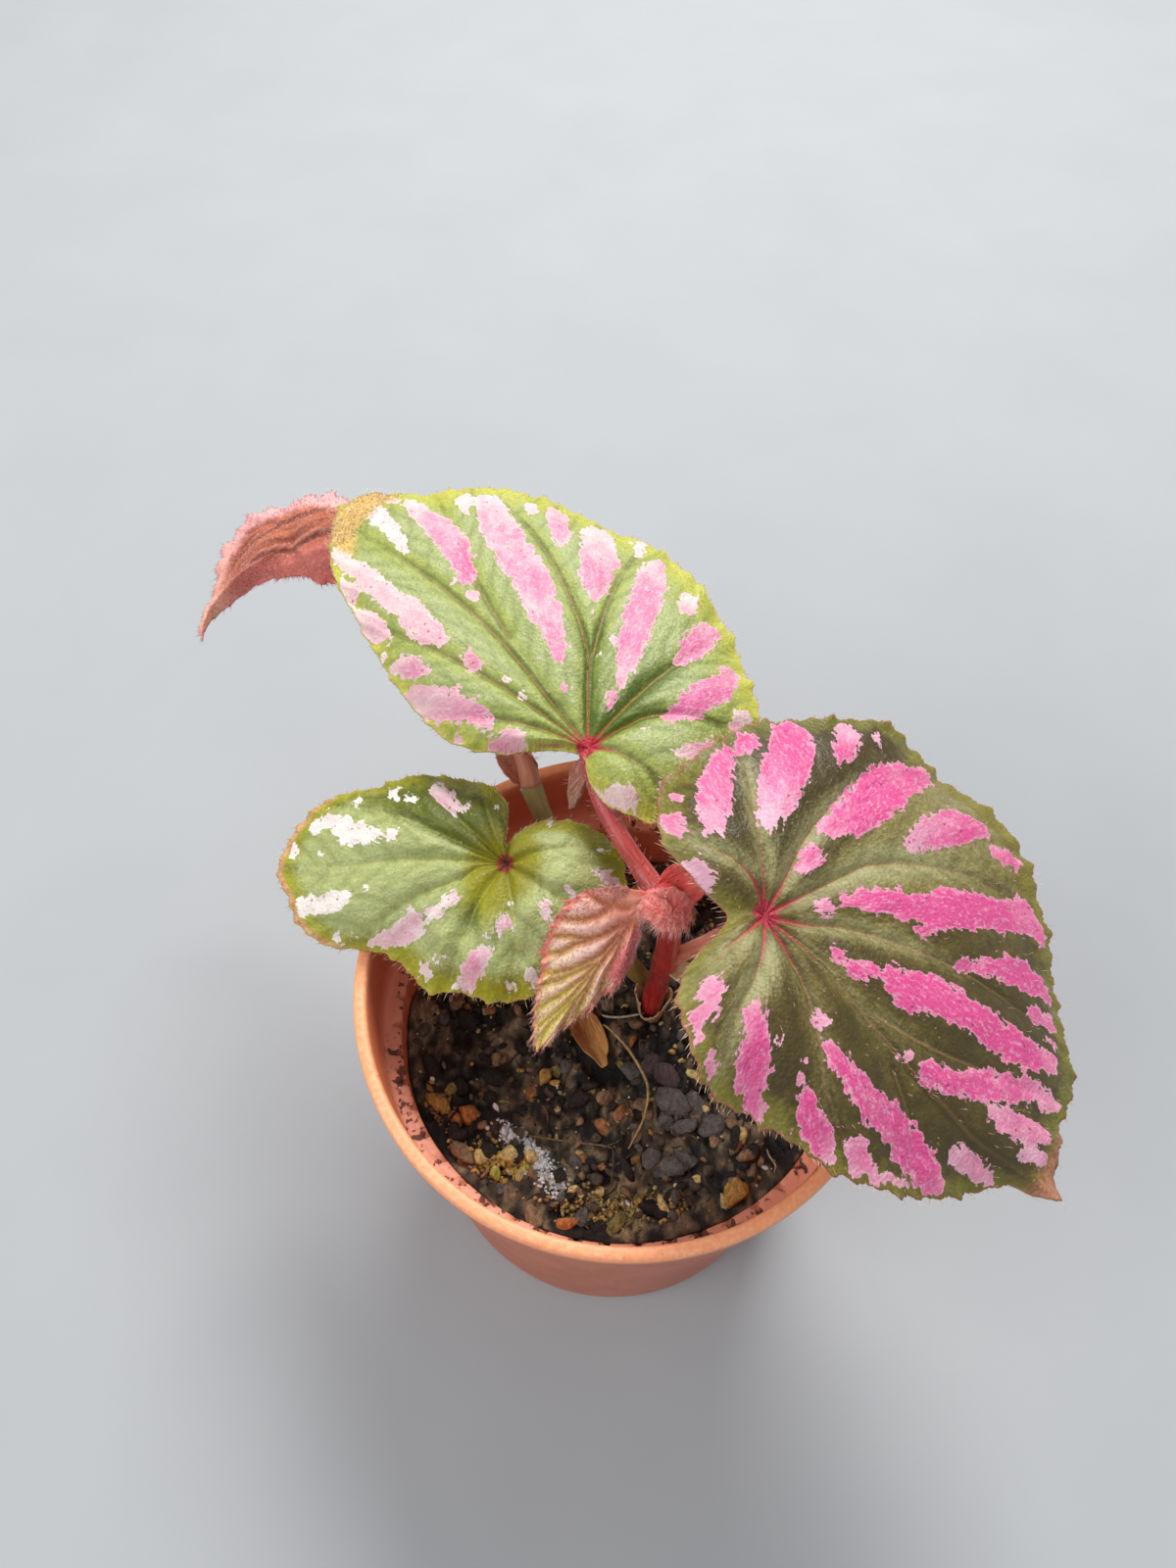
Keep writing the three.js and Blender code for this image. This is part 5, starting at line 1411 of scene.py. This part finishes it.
def blade_height(name, leaf, grid):
    """The broad form of a blade, and how high each place between two veins is puffed."""
    shares, reach = grid.shares, grid.reach
    wide = (grid.theta + 180) % 360 - 180
    body = smooth(reach, 3, 16)
    height = dome_height(leaf, shares, wide, reach)
    height += body * leaf["wave"] * shares**4 * np.sin(np.radians(wide * leaf["waves"]))
    if name == "leaf_drooping":
        outer = smooth(wide, -84, -60) * smooth(wide, 15, 5)
        hollow = smooth(shares, 0.15, 0.6) * smooth(shares, 1.0, 0.75)
        height += outer * (DROOP["lift"] * smooth(shares, 0.6, 1.0) - DROOP["hollow"] * hollow)
    crest = np.sin(np.pi * grid.between) * np.minimum(1, grid.apart / 25)
    height += smooth(reach, 2, 9) * leaf["puff"] * crest * np.sin(np.pi * shares**0.8)
    along = np.tile(np.arange(grid.columns) / 5.5, (grid.rings, 1))
    crimp = 0.55 * ripple(along, shares * 3, 1, leaf["seed"] + 3)
    return height + body * crimp * smooth(shares, 0.8, 1.0), crest


def droop_folds(x, y, edge, pucker):
    """Puckers with the drooping leaf's pleats and crease, how high they are, and the place across."""
    across, width = droop_across(x, y)
    wander = across + 0.04 * ripple(x, y, 5.0, 92)
    pleat = np.cos(2 * np.pi * 1.5 * wander + 0.5) + 0.4 * np.cos(2 * np.pi * 4.3 * wander + 1)
    crease = bell(wander - 0.31, 0.07) - 0.7 * bell(wander - 0.18, 0.07)
    pucker = pucker + width * (DROOP["pleat"] * pleat - DROOP["crease"] * crease * smooth(x, 14, 5))
    pucker = pucker + 0.4 * ripple(x, y, 2.2, 91) * smooth(edge, 3.5, 0.5)
    return pucker, 0.5 + 0.5 * pleat - 0.9 * crease * smooth(x, 14, 5), across


def young_folds(x, y, radius, pucker):
    """Puckers with the young leaf's folds, how high they are, its red flank, and the way to a fold."""
    away = segment_distance(x, y, [(*p, *q) for line in YOUNG_FOLDS for p, q in zip(line, line[1:])])
    crest = 1 - bell(away, 0.8)
    flank = smooth(y, 0.5, 3.0) * smooth(x, 2.0, 5.0) * smooth(x, 16, 11)
    return pucker + (0.55 * crest - 0.3) * smooth(radius, 1.0, 5.5), crest, flank, away


def dimples(x, y):
    """The left leaf's dimples: how deep each is, and how near each place is to it."""
    return [(deep, np.exp(-((x - dx) ** 2 + (y - dy) ** 2) / width**2)) for dx, dy, deep, width in DIMPLES]


def build_leaf(name, surface):
    """A blade as one closed sheet. Gives the grid with what its hairs need."""
    leaf = LEAVES[name]
    random = np.random.default_rng(leaf["seed"])
    grid = leaf_grid(leaf)
    shares, vein, across = grid.shares, grid.vein, 0.0
    x, y = blade_plan(name, leaf, grid)
    height, crest = blade_height(name, leaf, grid)
    edge = (1 - shares) * grid.reach[None]
    far = 9.0
    twig = net = np.full(x.shape, far)
    if leaf["veins"]:
        segments = side_veins(leaf["veins"], grid.theta, grid.reach, random)
        twig = segment_distance(x, y, segments)
        net = segment_distance(x, y, net_veins(segments, random))
    coarse, fine = ripple(x, y, 4.2, leaf["seed"] + 5), ripple(x, y, 1.9, leaf["seed"] + 6)
    pucker = leaf["pucker"] * (coarse + 0.5 * fine)
    pucker = pucker * smooth(vein, 0.2, 2.5) * smooth(shares, 0.04, 0.3)
    if name == "leaf_drooping":
        pucker, crest, across = droop_folds(x, y, edge, pucker)
    if name == "leaf_young":
        pucker, crest, across, vein = young_folds(x, y, grid.radius, pucker)
    if name == "leaf_left":
        for deep, near in dimples(x, y):
            pucker = pucker - deep * near
    taper = 1 - 0.7 * shares
    groove = 0.34 * bell(vein, 0.75) * taper + 0.14 * bell(twig, 0.6) + 0.05 * bell(net, 0.4)
    ridge = 0.5 * bell(vein, 0.55) * taper + 0.16 * bell(twig, 0.45)
    half = (0.2 + 0.22 * smooth(shares, 1.0, 0.8)) / 2
    upper = height + pucker + half - groove * smooth(shares, 1.0, 0.85)
    lower = height + pucker - half - ridge * smooth(shares, 1.0, 0.85)
    turn = turn_matrix(leaf["heading"], leaf["rise"], leaf["roll"])

    def raised(z, hub_lower):
        return hub_and_grid((0, 0, z[0].mean() - hub_lower), x, y, z) @ turn.T + np.array(leaf["base"])

    tops, bottoms = raised(upper, 0.15), raised(lower, 0.1)
    place = hub_and_grid((0, 0, 0), x, y, 0 * x)
    fibre = hub_and_grid((0, 0, 0), 0.35 * grid.radius, 22 * np.cos(grid.turn), 22 * np.sin(grid.turn))
    depth, tone = stroke_depth(x, y, [stroke_knots(leaf, stroke) for stroke in leaf["strokes"]])
    dark, silver_and_sheen, brown = leaf_zones(name, x, y, vein, edge)
    other_noise = [0, 0, 7.3]
    attributes = {"place": np.vstack([place, place + other_noise]), "fibre": np.vstack([fibre, fibre]),
                  "upper": np.repeat([1.0, 0.0], len(tops))}
    columns = {"across": (across, 0), "vein": (vein, 0), "twig": (bell(twig, 0.5), 0), "edge": (edge, 5),
               "hub": (grid.radius, 0), "share": (shares, 0), "depth": (depth, -9), "tone": (tone, 0),
               "crest": (crest, 0), "dark": (dark, 0.5), "silver_and_sheen": (silver_and_sheen, 0), "brown": (brown, 0)}
    for key, (values, at_hub) in columns.items():
        one_side = np.concatenate([[at_hub], np.broadcast_to(values, x.shape).ravel()])
        attributes[key] = np.tile(one_side, 2)
    add_piece(name + "_blade", np.vstack([tops, bottoms]), sheet_faces(grid.rings, grid.columns), surface,
              (name,), attributes)
    grid.tops, grid.bottoms = (side[1:].reshape(*x.shape, 3) for side in (tops, bottoms))
    grid.x, grid.y, grid.normal = x, y, turn @ np.array([0, 0, 1.0])
    return grid


def leaf_zones(name, x, y, vein, edge):
    """How dark, silvery and brown each leaf is, place by place; silvery partly as painted sheen, dark partly
    as painted shade.
    """
    angle, radius = np.degrees(np.arctan2(y, x)), np.hypot(x, y)
    if name == "leaf_back":
        # The term along the veins is painted shade in their grooves.
        dark = (0.25 * bell(radius, 15) + 0.9 * bell(angle + 78, 40) * smooth(radius, 34, 14)
                + (0.25 * bell(vein, 0.9) * smooth(radius, 4, 12) - 0.25 * smooth(radius, 40, 62)) - 0.1)
        # Silvery between the veins and inward of the margin: painted sheen on the puffed blade.
        silver_and_sheen = 0.75 * smooth(edge, 2, 11) * smooth(vein, 0.4, 3) * smooth(angle, 60, 30)
        end = segment_distance(x, y, [(69.9, -11.0, 66.6, 1.0), (66.6, 1.0, 62.0, 4.2)])
        return dark, silver_and_sheen, smooth(end, 5.4, 1.2) * smooth(y, 7.0, 1.5)
    if name == "leaf_right":
        beside, fresh = bell(vein, 2.4), bell(angle - 66, 22) * smooth(radius, 9, 20)
        dark = (0.9 - 0.6 * beside * smooth(radius, 40, 14) - 0.35 * smooth(edge, 5, 1)
                - 0.4 * bell(angle + 75, 28) * smooth(radius, 20, 8) - 0.9 * fresh
                + 0.35 * bell(angle - 118, 34) * smooth(radius, 4, 12))
        silver_and_sheen = (0.85 * beside * smooth(radius, 44, 16) * smooth(radius, 2, 6)
                  + 0.5 * bell(angle + 62, 26) * smooth(radius, 19, 9)
                  + 0.25 * bell(angle - 112, 24) * smooth(radius, 30, 12)
                  + 0.7 * fresh * smooth(edge, 1.5, 5))
        silver_and_sheen *= 1 - 0.5 * bell(angle + 20, 24)
        brown = 0.4 * smooth(edge, 0.8, 0.1) + smooth(radius, 52, 57) * smooth(np.abs(angle - 5), 8, 3)
        return dark, silver_and_sheen * 0.85, brown * 0.8
    if name == "leaf_left":
        back = smooth(angle, -14, -34) * smooth(angle, -125, -90)
        # The term along the veins is painted shade in their grooves.
        dark = 0.95 * back + 0.3 * bell(vein, 1.2) * smooth(radius, 4, 10)
        dark += 0.5 * bell(angle - 60, 40) * bell(radius - 17, 4)
        # Sunk dimples are painted darker and raised ones paler: painted shade and painted light.
        for deep, near in dimples(x, y):
            dark += 0.8 * deep * near
        dark -= 0.6 * bell(angle - 66, 26) * smooth(radius, 9, 4)
        silver_and_sheen = (1 - back) * (0.75 * smooth(edge, 1.5, 6) + 0.3) * smooth(radius, 3.5, 9)
        silver_and_sheen *= 1 - 0.85 * bell(angle - 62, 34) * smooth(radius, 15, 7)
        return dark, silver_and_sheen, smooth(edge, 1.9, 0.3) * smooth(np.abs(angle - 2), 30, 16)
    return 0.0, 0.0, 0.0


def margin_bristles(grid, random, every, length, thick, lean=0.5):
    """Bristles that stand out from the margin, one on each tooth and more between."""
    rim = (grid.tops[-1] + grid.bottoms[-1]) / 2
    inner = (grid.tops[-4] + grid.bottoms[-4]) / 2
    picks = np.arange(0, len(rim), every)
    picks = (picks + random.integers(0, every, len(picks))) % len(rim)
    picks = picks[grid.reach[picks] > 4]
    count = len(picks)
    outward = unit(rim[picks] - inner[picks])
    aside = scatter(random, count, 0.9)
    directions = outward + aside + grid.normal * lean * (random.random((count, 1)) - 0.25)
    lengths = length * (0.45 + 0.75 * random.random(count))
    bends = scatter(random, count, lengths[:, None]) * 0.4
    return hair_part(rim[picks] - outward * 0.15, directions, lengths, bends, random, thick)


def blade_hairs(grid, random, count, length, thick, above=True, beyond=None, forward=0.8):
    """Hairs scattered over a face of the blade, leaning to the margin."""
    face, up = (grid.tops, grid.normal) if above else (grid.bottoms, -grid.normal)
    rows = np.clip((np.sqrt(random.random(count)) * grid.rings).astype(int), 2, grid.rings - 2)
    cols = random.integers(0, grid.columns, count)
    keep = grid.reach[cols] * grid.shares[rows, 0] > 2.5
    if beyond is not None:
        keep &= grid.x[rows, cols] - 0.35 * np.abs(grid.y[rows, cols]) > beyond
    rows, cols = rows[keep], cols[keep]
    outward = unit(face[rows + 1, cols] - face[rows - 2, cols])
    directions = up + outward * forward + scatter(random, len(rows), 0.8)
    lengths = length * (0.5 + 0.8 * random.random(len(rows)))
    bends = scatter(random, len(rows), lengths[:, None]) * 0.5
    return hair_part(face[rows, cols] - up * 0.05, directions, lengths, bends, random, thick)


# The grown leaves with their slots, and their looks: each value for the back, right and left leaf.
GROWN_LEAVES = {"leaf_back": "leaf_light", "leaf_right": "leaf_dark", "leaf_left": "leaf_light"}
GROWN_LOOKS = dict(
    mid=((160, 168, 84), (122, 106, 44), (146, 144, 30)), deep=((80, 96, 26), (70, 57, 18), (88, 94, 12)),
    silver_and_sheen=((168, 176, 118), (154, 148, 100), (168, 174, 110)),
    edge=((194, 190, 70), (132, 130, 34), (162, 160, 30)),
    vein=((150, 112, 52), (160, 118, 76), (172, 166, 78)),
    twig=((104, 118, 48), (80, 72, 26), (108, 122, 44)),
    brown=((224, 194, 118), (196, 134, 104), (218, 168, 116)),
    brown_dark=((186, 126, 50), (134, 74, 46), (178, 116, 64)),
    pale=((238, 214, 206), (234, 186, 200), (236, 226, 216)),
    pink=((214, 104, 150), (212, 72, 134), (216, 118, 156)),
    dot=((160, 70, 98), (140, 34, 84), (132, 92, 84)),
    fleck=((220, 220, 186), (208, 204, 176), (222, 224, 190)),
    rim=((210, 188, 92), (156, 104, 66), (192, 160, 84)),
    glow=((120, 132, 40), (110, 104, 50), (134, 124, 4)),
    hub=((156, 20, 42), (150, 16, 40), (108, 28, 20)),
    hub_light=((196, 60, 74), (198, 62, 84), (154, 56, 38)),
    under=((190, 168, 110), (166, 96, 80), (182, 158, 100)),
    under_dark=((166, 132, 92), (134, 68, 60), (152, 122, 84)),
    under_patch=((232, 172, 174), (206, 104, 128), (226, 180, 178)),
    under_vein=((196, 86, 76), (190, 60, 66), (186, 94, 76)), fibrous=(0.3, 0.55, 0.45),
    edge_reach=(7.0, 5.0, 5.0), edge_share=(0.8, 0.5, 0.8), vein_share=(0.85, 0.6, 0.45),
    vein_shadow=(0.42, 0.3, 0.3), twig_share=(0.45, 0.3, 0.35), streaks=(0.9, 0.8, 0.9),
    fleck_share=(0.3, 0.35, 0.4), rim_width=(0.45, 0.32, 0.4), glow_reach=(6.0, 5.0, 8.5),
    glow_share=(0.2, 0.2, 0.9), hub_ragged=(2.6, 2.6, 1.0), hub_shade=(0.0, 0.0, 0.9),
    hub_reach=(2.5, 2.6, 1.9), streak_reach=(5.5, 10.0, 2.2))


# Seed, bristles of the margin and hairs of the faces for each leaf. Lengths are in millimetres.
GROWN_BRISTLES = [dict(every=2, length=1.5, thick=0.065)]
GROWN_HAIRS = [dict(count=420, length=1.1, thick=0.04), dict(count=260, length=1.2, thick=0.05, above=False)]
BROWN_END_HAIRS = [dict(count=22000, length=1.5, thick=0.04, beyond=61.5, forward=2.4)]
LEAF_HAIRS = {
    "leaf_back": (111, GROWN_BRISTLES, GROWN_HAIRS + BROWN_END_HAIRS),
    "leaf_right": (112, GROWN_BRISTLES, GROWN_HAIRS),
    "leaf_left": (113, GROWN_BRISTLES, GROWN_HAIRS),
    "leaf_drooping": (
        301,
        [dict(every=1, length=1.7, thick=0.065, lean=0.6), dict(every=1, length=1.2, thick=0.055, lean=0.8),
         dict(every=1, length=0.9, thick=0.055, lean=0.9)],
        [dict(count=2600, length=0.8, thick=0.035), dict(count=400, length=1.0, thick=0.05, above=False)]),
    "leaf_young": (
        302,
        [dict(every=1, length=1.2, thick=0.05, lean=0.6), dict(every=1, length=0.8, thick=0.045, lean=0.9)],
        [dict(count=4600, length=0.75, thick=0.038), dict(count=300, length=1.0, thick=0.05, above=False)]),
}


def add_leaf(name, surface, hair_material):
    grid = build_leaf(name, surface)
    seed, bristles, hairs = LEAF_HAIRS[name]
    random = np.random.default_rng(seed)
    parts = [margin_bristles(grid, random, **look) for look in bristles]
    parts += [blade_hairs(grid, random, **look) for look in hairs]
    add_parts(name + "_hairs", parts, hair_material)


def add_leaves(pale_hair, rosy_hair):
    for index, (name, slot) in enumerate(GROWN_LEAVES.items()):
        look = {key: values[index] for key, values in GROWN_LOOKS.items()}
        add_leaf(name, leaf_surface(name + "_skin", look), pale_hair)
    add_leaf("leaf_drooping", drooping_surface(), rosy_hair)
    add_leaf("leaf_young", young_surface(), rosy_hair)


# Stems


def stem_path(name):
    knots = np.array(STEMS[name], float)
    line, places = curve_points(knots[:, :3], False)
    length = np.linalg.norm(np.diff(line, axis=0), axis=1).sum()
    steps_per_mm = 1.6
    path, where = even_points(line, max(int(length * steps_per_mm), 8), False, places)
    return path, np.interp(where, np.arange(len(knots)), knots[:, 3])


def stem_hairs(path, radii, count, length, random):
    """Hairs that stand out round a stem."""
    low, high = 0.1, 0.95
    at = (low + (high - low) * random.random(count)) * (len(path) - 1)
    index = np.clip(at.astype(int), 0, len(path) - 2)
    step = path[index + 1] - path[index]
    centre = path[index] + step * (at - index)[:, None]
    tangent = unit(step)
    outward = unit(np.cross(tangent, random.random((count, 3)) - 0.5))
    directions = outward + 0.5 * tangent + scatter(random, count, 0.5)
    lengths = length * (0.4 + 0.8 * random.random(count))
    bends = scatter(random, count, lengths[:, None]) * 0.5
    roots = centre + outward * (radii[index] * 0.93)[:, None]
    return hair_part(roots, directions, lengths, bends, random, thick=0.055)


STEM_LOOKS = {
    "main_stem": dict(slot="stem_red", low=(158, 20, 22), high=(206, 58, 58), streak=(214, 84, 78),
                      hairs=8, length=0.8, roughness=0.2, relief=0.25, streak_share=0.3),
    "side_cane": dict(slot="stem_green", low=(130, 112, 48), high=(158, 144, 80), streak=(178, 164, 106),
                      hairs=60, length=1.0, roughness=0.42),
    "petiole_right": dict(slot="petiole_pink", low=(222, 142, 112), high=(230, 142, 126),
                          streak=(240, 184, 162), hairs=90, length=1.4, roughness=0.42),
    "petiole_left": dict(slot="stem_green", low=(150, 138, 60), high=(172, 112, 72),
                         streak=(198, 170, 106), hairs=60, length=1.3, roughness=0.42),
    "petiole_back": dict(slot="petiole_pink", low=(178, 70, 62), high=(166, 46, 50),
                         streak=(206, 106, 96), hairs=110, length=1.5, roughness=0.36),
    "petiole_drooping": dict(slot="stem_red", low=(196, 128, 98), high=(182, 80, 74),
                             streak=(216, 152, 126), hairs=150, length=1.5, roughness=0.42),
    "petiole_young": dict(slot="petiole_pink", low=(232, 104, 112), high=(236, 124, 124),
                          streak=(246, 168, 164), hairs=110, length=1.3, roughness=0.45),
}


def add_stems(hair_material):
    for index, (name, look) in enumerate(STEM_LOOKS.items()):
        random = np.random.default_rng(500 + index)
        path, radii = stem_path(name)
        swell = 1 + 0.03 * np.sin(np.linspace(0, 1, len(path)) * 23 + index)
        points, faces, attributes = tube_part(path, radii * swell, 24)
        surface = skin_surface(name + "_skin", look["low"], look["high"], look["streak"], look["roughness"],
                               look.get("relief", 0.6), look.get("streak_share", 0.6))
        add_piece(name + "_skin", points, faces, surface, (name,), attributes)
        hairs = stem_hairs(path, radii, look["hairs"], look["length"], random)
        add_parts(name + "_hairs", [hairs], hair_material)


# Shoot tip, bracts and sheath


def add_bud(hair_material):
    """The hairy shoot tip: folded young bracts that overlap in one pointed bud."""
    random = np.random.default_rng(601)
    foot, tip = np.array(BUD["foot"]), np.array(BUD["tip"])
    axis = tip - foot
    length = np.linalg.norm(axis)
    axis = axis / length
    side = np.cross(axis, [0, 0, 1.0])
    side /= np.linalg.norm(side)
    front = np.cross(axis, side)
    widths = [(0, 0.15), (0.04, 0.5), (0.2, 0.86), (0.42, 1), (0.66, 0.86), (0.88, 0.46), (1, 0.06)]
    rows, around = 44, 64
    shares = np.linspace(0, 1, rows)[:, None]
    turns = full_turn(around)
    folds = 1 + 0.07 * np.sin(turns * 3 + shares * 4.5) + 0.05 * np.sin(turns * 11 + 2 * np.sin(shares * 6))
    within = (3 * turns / (2 * math.pi) + 2.2 * shares) % 1.0
    lap = 0.34 * (1 - within) ** 0.7 * smooth(within, 0.0, 0.06) - 0.14
    width = np.interp(shares, *zip(*widths))
    across, deep = (BUD[key] * width * (folds + lap) for key in ("width", "depth"))
    points = (foot + axis * (shares * length)[..., None] + side * (across * np.cos(turns))[..., None]
              + front * (deep * np.sin(turns))[..., None]).reshape(-1, 3)
    points = np.vstack([points, [foot, tip]])
    place = np.stack(np.broadcast_arrays(shares * length, 3 * np.cos(turns), 3 * np.sin(turns)), axis=-1)
    place = np.vstack([place.reshape(-1, 3), [[0, 0, 0], [length, 0, 0]]])
    along = np.concatenate([((1 - within) * 0.8 + 0.1).ravel(), [0, 1]])
    surface = bract_surface("bud_skin", (240, 96, 88), (255, 142, 130), (255, 196, 180))
    attributes = {"along": along, "place": place}
    faces = barrel_faces(rows, around)
    add_piece("shoot_tip_bud", points, faces, surface, ("shoot_tip",), attributes)
    hairs = 780
    picks = random.integers(around * 3, around * (rows - 1), hairs)
    outward = unit(points[picks] - (foot + axis * (shares[picks // around] * length)))
    hang = np.array([-0.45, -0.8, -0.45])
    directions = outward * 0.5 + axis * 0.35 + hang * 0.8 + scatter(random, hairs, 0.8)
    lengths = 0.8 + 1.7 * random.random(hairs)
    bends = scatter(random, hairs, 0.9)
    part = hair_part(points[picks] - outward * 0.1, directions, lengths, bends, random, thick=0.045)
    add_parts("shoot_tip_hairs", [part], hair_material)


BRACT_LOOKS = {
    "stipule_shoot": ("bud", (226, 84, 84), (238, 122, 110), (246, 160, 142)),
    "stipule_cane": ("bract", (196, 112, 86), (216, 158, 128), (232, 186, 156)),
    "stipule_hanging": ("bract", (178, 92, 86), (150, 116, 84), (216, 164, 146)),
    "stipule_beige": ("bract", (206, 176, 132), (232, 208, 164), (244, 226, 190)),
    "stipule_brown": ("bract", (158, 96, 40), (196, 140, 74), (214, 170, 110)),
}


def add_bracts(hair_material):
    for index, (name, (slot, base, tip, streak)) in enumerate(BRACT_LOOKS.items()):
        bract = BRACTS[name]
        random = np.random.default_rng(700 + index)
        rings, around = 16, 56
        shares = (np.arange(1, rings + 1) / rings)[:, None]
        turns = full_turn(around)
        point = 1 + 0.25 * np.maximum(0, np.cos(turns)) ** 6
        rag = 1 + 0.05 * ripple(np.arange(around) / 2.0, 0 * turns, 1, 710 + index) * shares**4
        x = bract["length"] * shares * point * np.cos(turns) * rag
        y = bract["width"] * shares * np.sin(turns) * rag
        z = bract["cup"] * (shares * np.sin(turns)) ** 2 - bract["cup"] * (1 - shares)
        z = z + 0.16 * np.sin(y * 3.4) * shares + 0.12 * ripple(x, y, 1.6, 720 + index)
        turn = turn_matrix(bract["heading"], bract["rise"], bract["roll"])
        half = 0.13
        tops, bottoms = (hub_and_grid((0, 0, -bract["cup"] + lift), x, y, z + lift) @ turn.T
                         + np.array(bract["base"]) for lift in (half, -half))
        place = hub_and_grid((0, 0, 0), x, y, 0 * x)
        along = np.clip(place[:, 0] / bract["length"] * 0.5 + 0.5, 0, 1)
        attributes = {"along": np.tile(along, 2), "place": np.vstack([place, place])}
        add_piece(name + "_blade", np.vstack([tops, bottoms]), sheet_faces(rings, around),
                  bract_surface(name + "_skin", base, tip, streak), (name,), attributes)
        if name in ("stipule_hanging", "stipule_shoot", "stipule_cane"):
            hairs = 90
            picks = random.integers(1 + around * 4, len(tops), hairs)
            directions = unit(place[picks]) @ turn.T + turn @ np.array([0, 0, 0.5])
            directions = directions + scatter(random, hairs, 0.8)
            lengths = 0.6 + 1.0 * random.random(hairs)
            bends = scatter(random, hairs, 0.5)
            part = hair_part(tops[picks], directions, lengths, bends, random, thick=0.05)
            add_parts(name + "_hairs", [part], hair_material)


def add_sheath():
    """The torn dry sheath round the foot of the main stem."""
    x0, y0, _, stem_radius = STEMS["main_stem"][1]
    around, rows = 96, 14
    turns, steps = full_turn(around), np.arange(around)
    shares = np.linspace(0, 1, rows)[:, None]
    prong = 1.2 * np.sin(SHEATH["prongs"] * turns) + 0.8 * np.sin(2 * turns + 2)
    frays = 1.1 * ripple(steps / 6.0, 0 * turns, 1, 801) + 0.6 * ripple(steps / 1.6, 0 * turns, 1, 803)
    top = SHEATH["top"] + prong + frays
    z = SHEATH["bottom"] + (top - SHEATH["bottom"]) * shares
    flare = 0.7 * (SHEATH["flare"] + 0.9 * np.sin(SHEATH["prongs"] * turns + 0.6)) * shares**1.6
    flare = flare + 0.14 * ripple(turns * 6, z, 1, 802)
    radius = stem_radius + SHEATH["inner"] + flare
    sides = [np.stack([x0 + r * np.cos(turns), y0 + r * np.sin(turns), z], axis=-1).reshape(-1, 3)
             for r in (radius + SHEATH["wall"], radius)]
    count = rows * around
    outer = wrap_quads(rows, around)
    low, high = steps, np.arange(count - around, count)
    low_next, high_next = np.roll(low, -1), np.roll(high, -1)
    faces = [outer, outer[:, ::-1] + count, np.stack([low_next, low, low + count, low_next + count], axis=1),
             np.stack([high, high_next, high_next + count, high + count], axis=1)]
    along = np.tile(np.repeat(shares[:, 0], around), 2)
    place = np.stack([np.tile(z.ravel(), 2), np.tile(turns * 2.4, 2 * rows), 0 * along], axis=1)
    surface = bract_surface("sheath_skin", (128, 96, 62), (202, 170, 122), (222, 196, 152))
    add_piece("stem_sheath_torn", np.vstack(sides), faces, surface, ("stem_sheath",),
              {"along": along, "place": place})


add_camera()
add_studio()
add_pot()
add_soil()
rosy_hair = hair_surface("rosy_hair", (206, 74, 84), (252, 214, 206))
add_leaves(hair_surface("margin_hair", (206, 150, 96), (250, 238, 206)), rosy_hair)
add_stems(rosy_hair)
add_bud(hair_surface("bud_hair", (255, 138, 130), (255, 216, 204)))
add_bracts(rosy_hair)
add_sheath()
bpy.context.scene.view_settings.view_transform = "Standard"
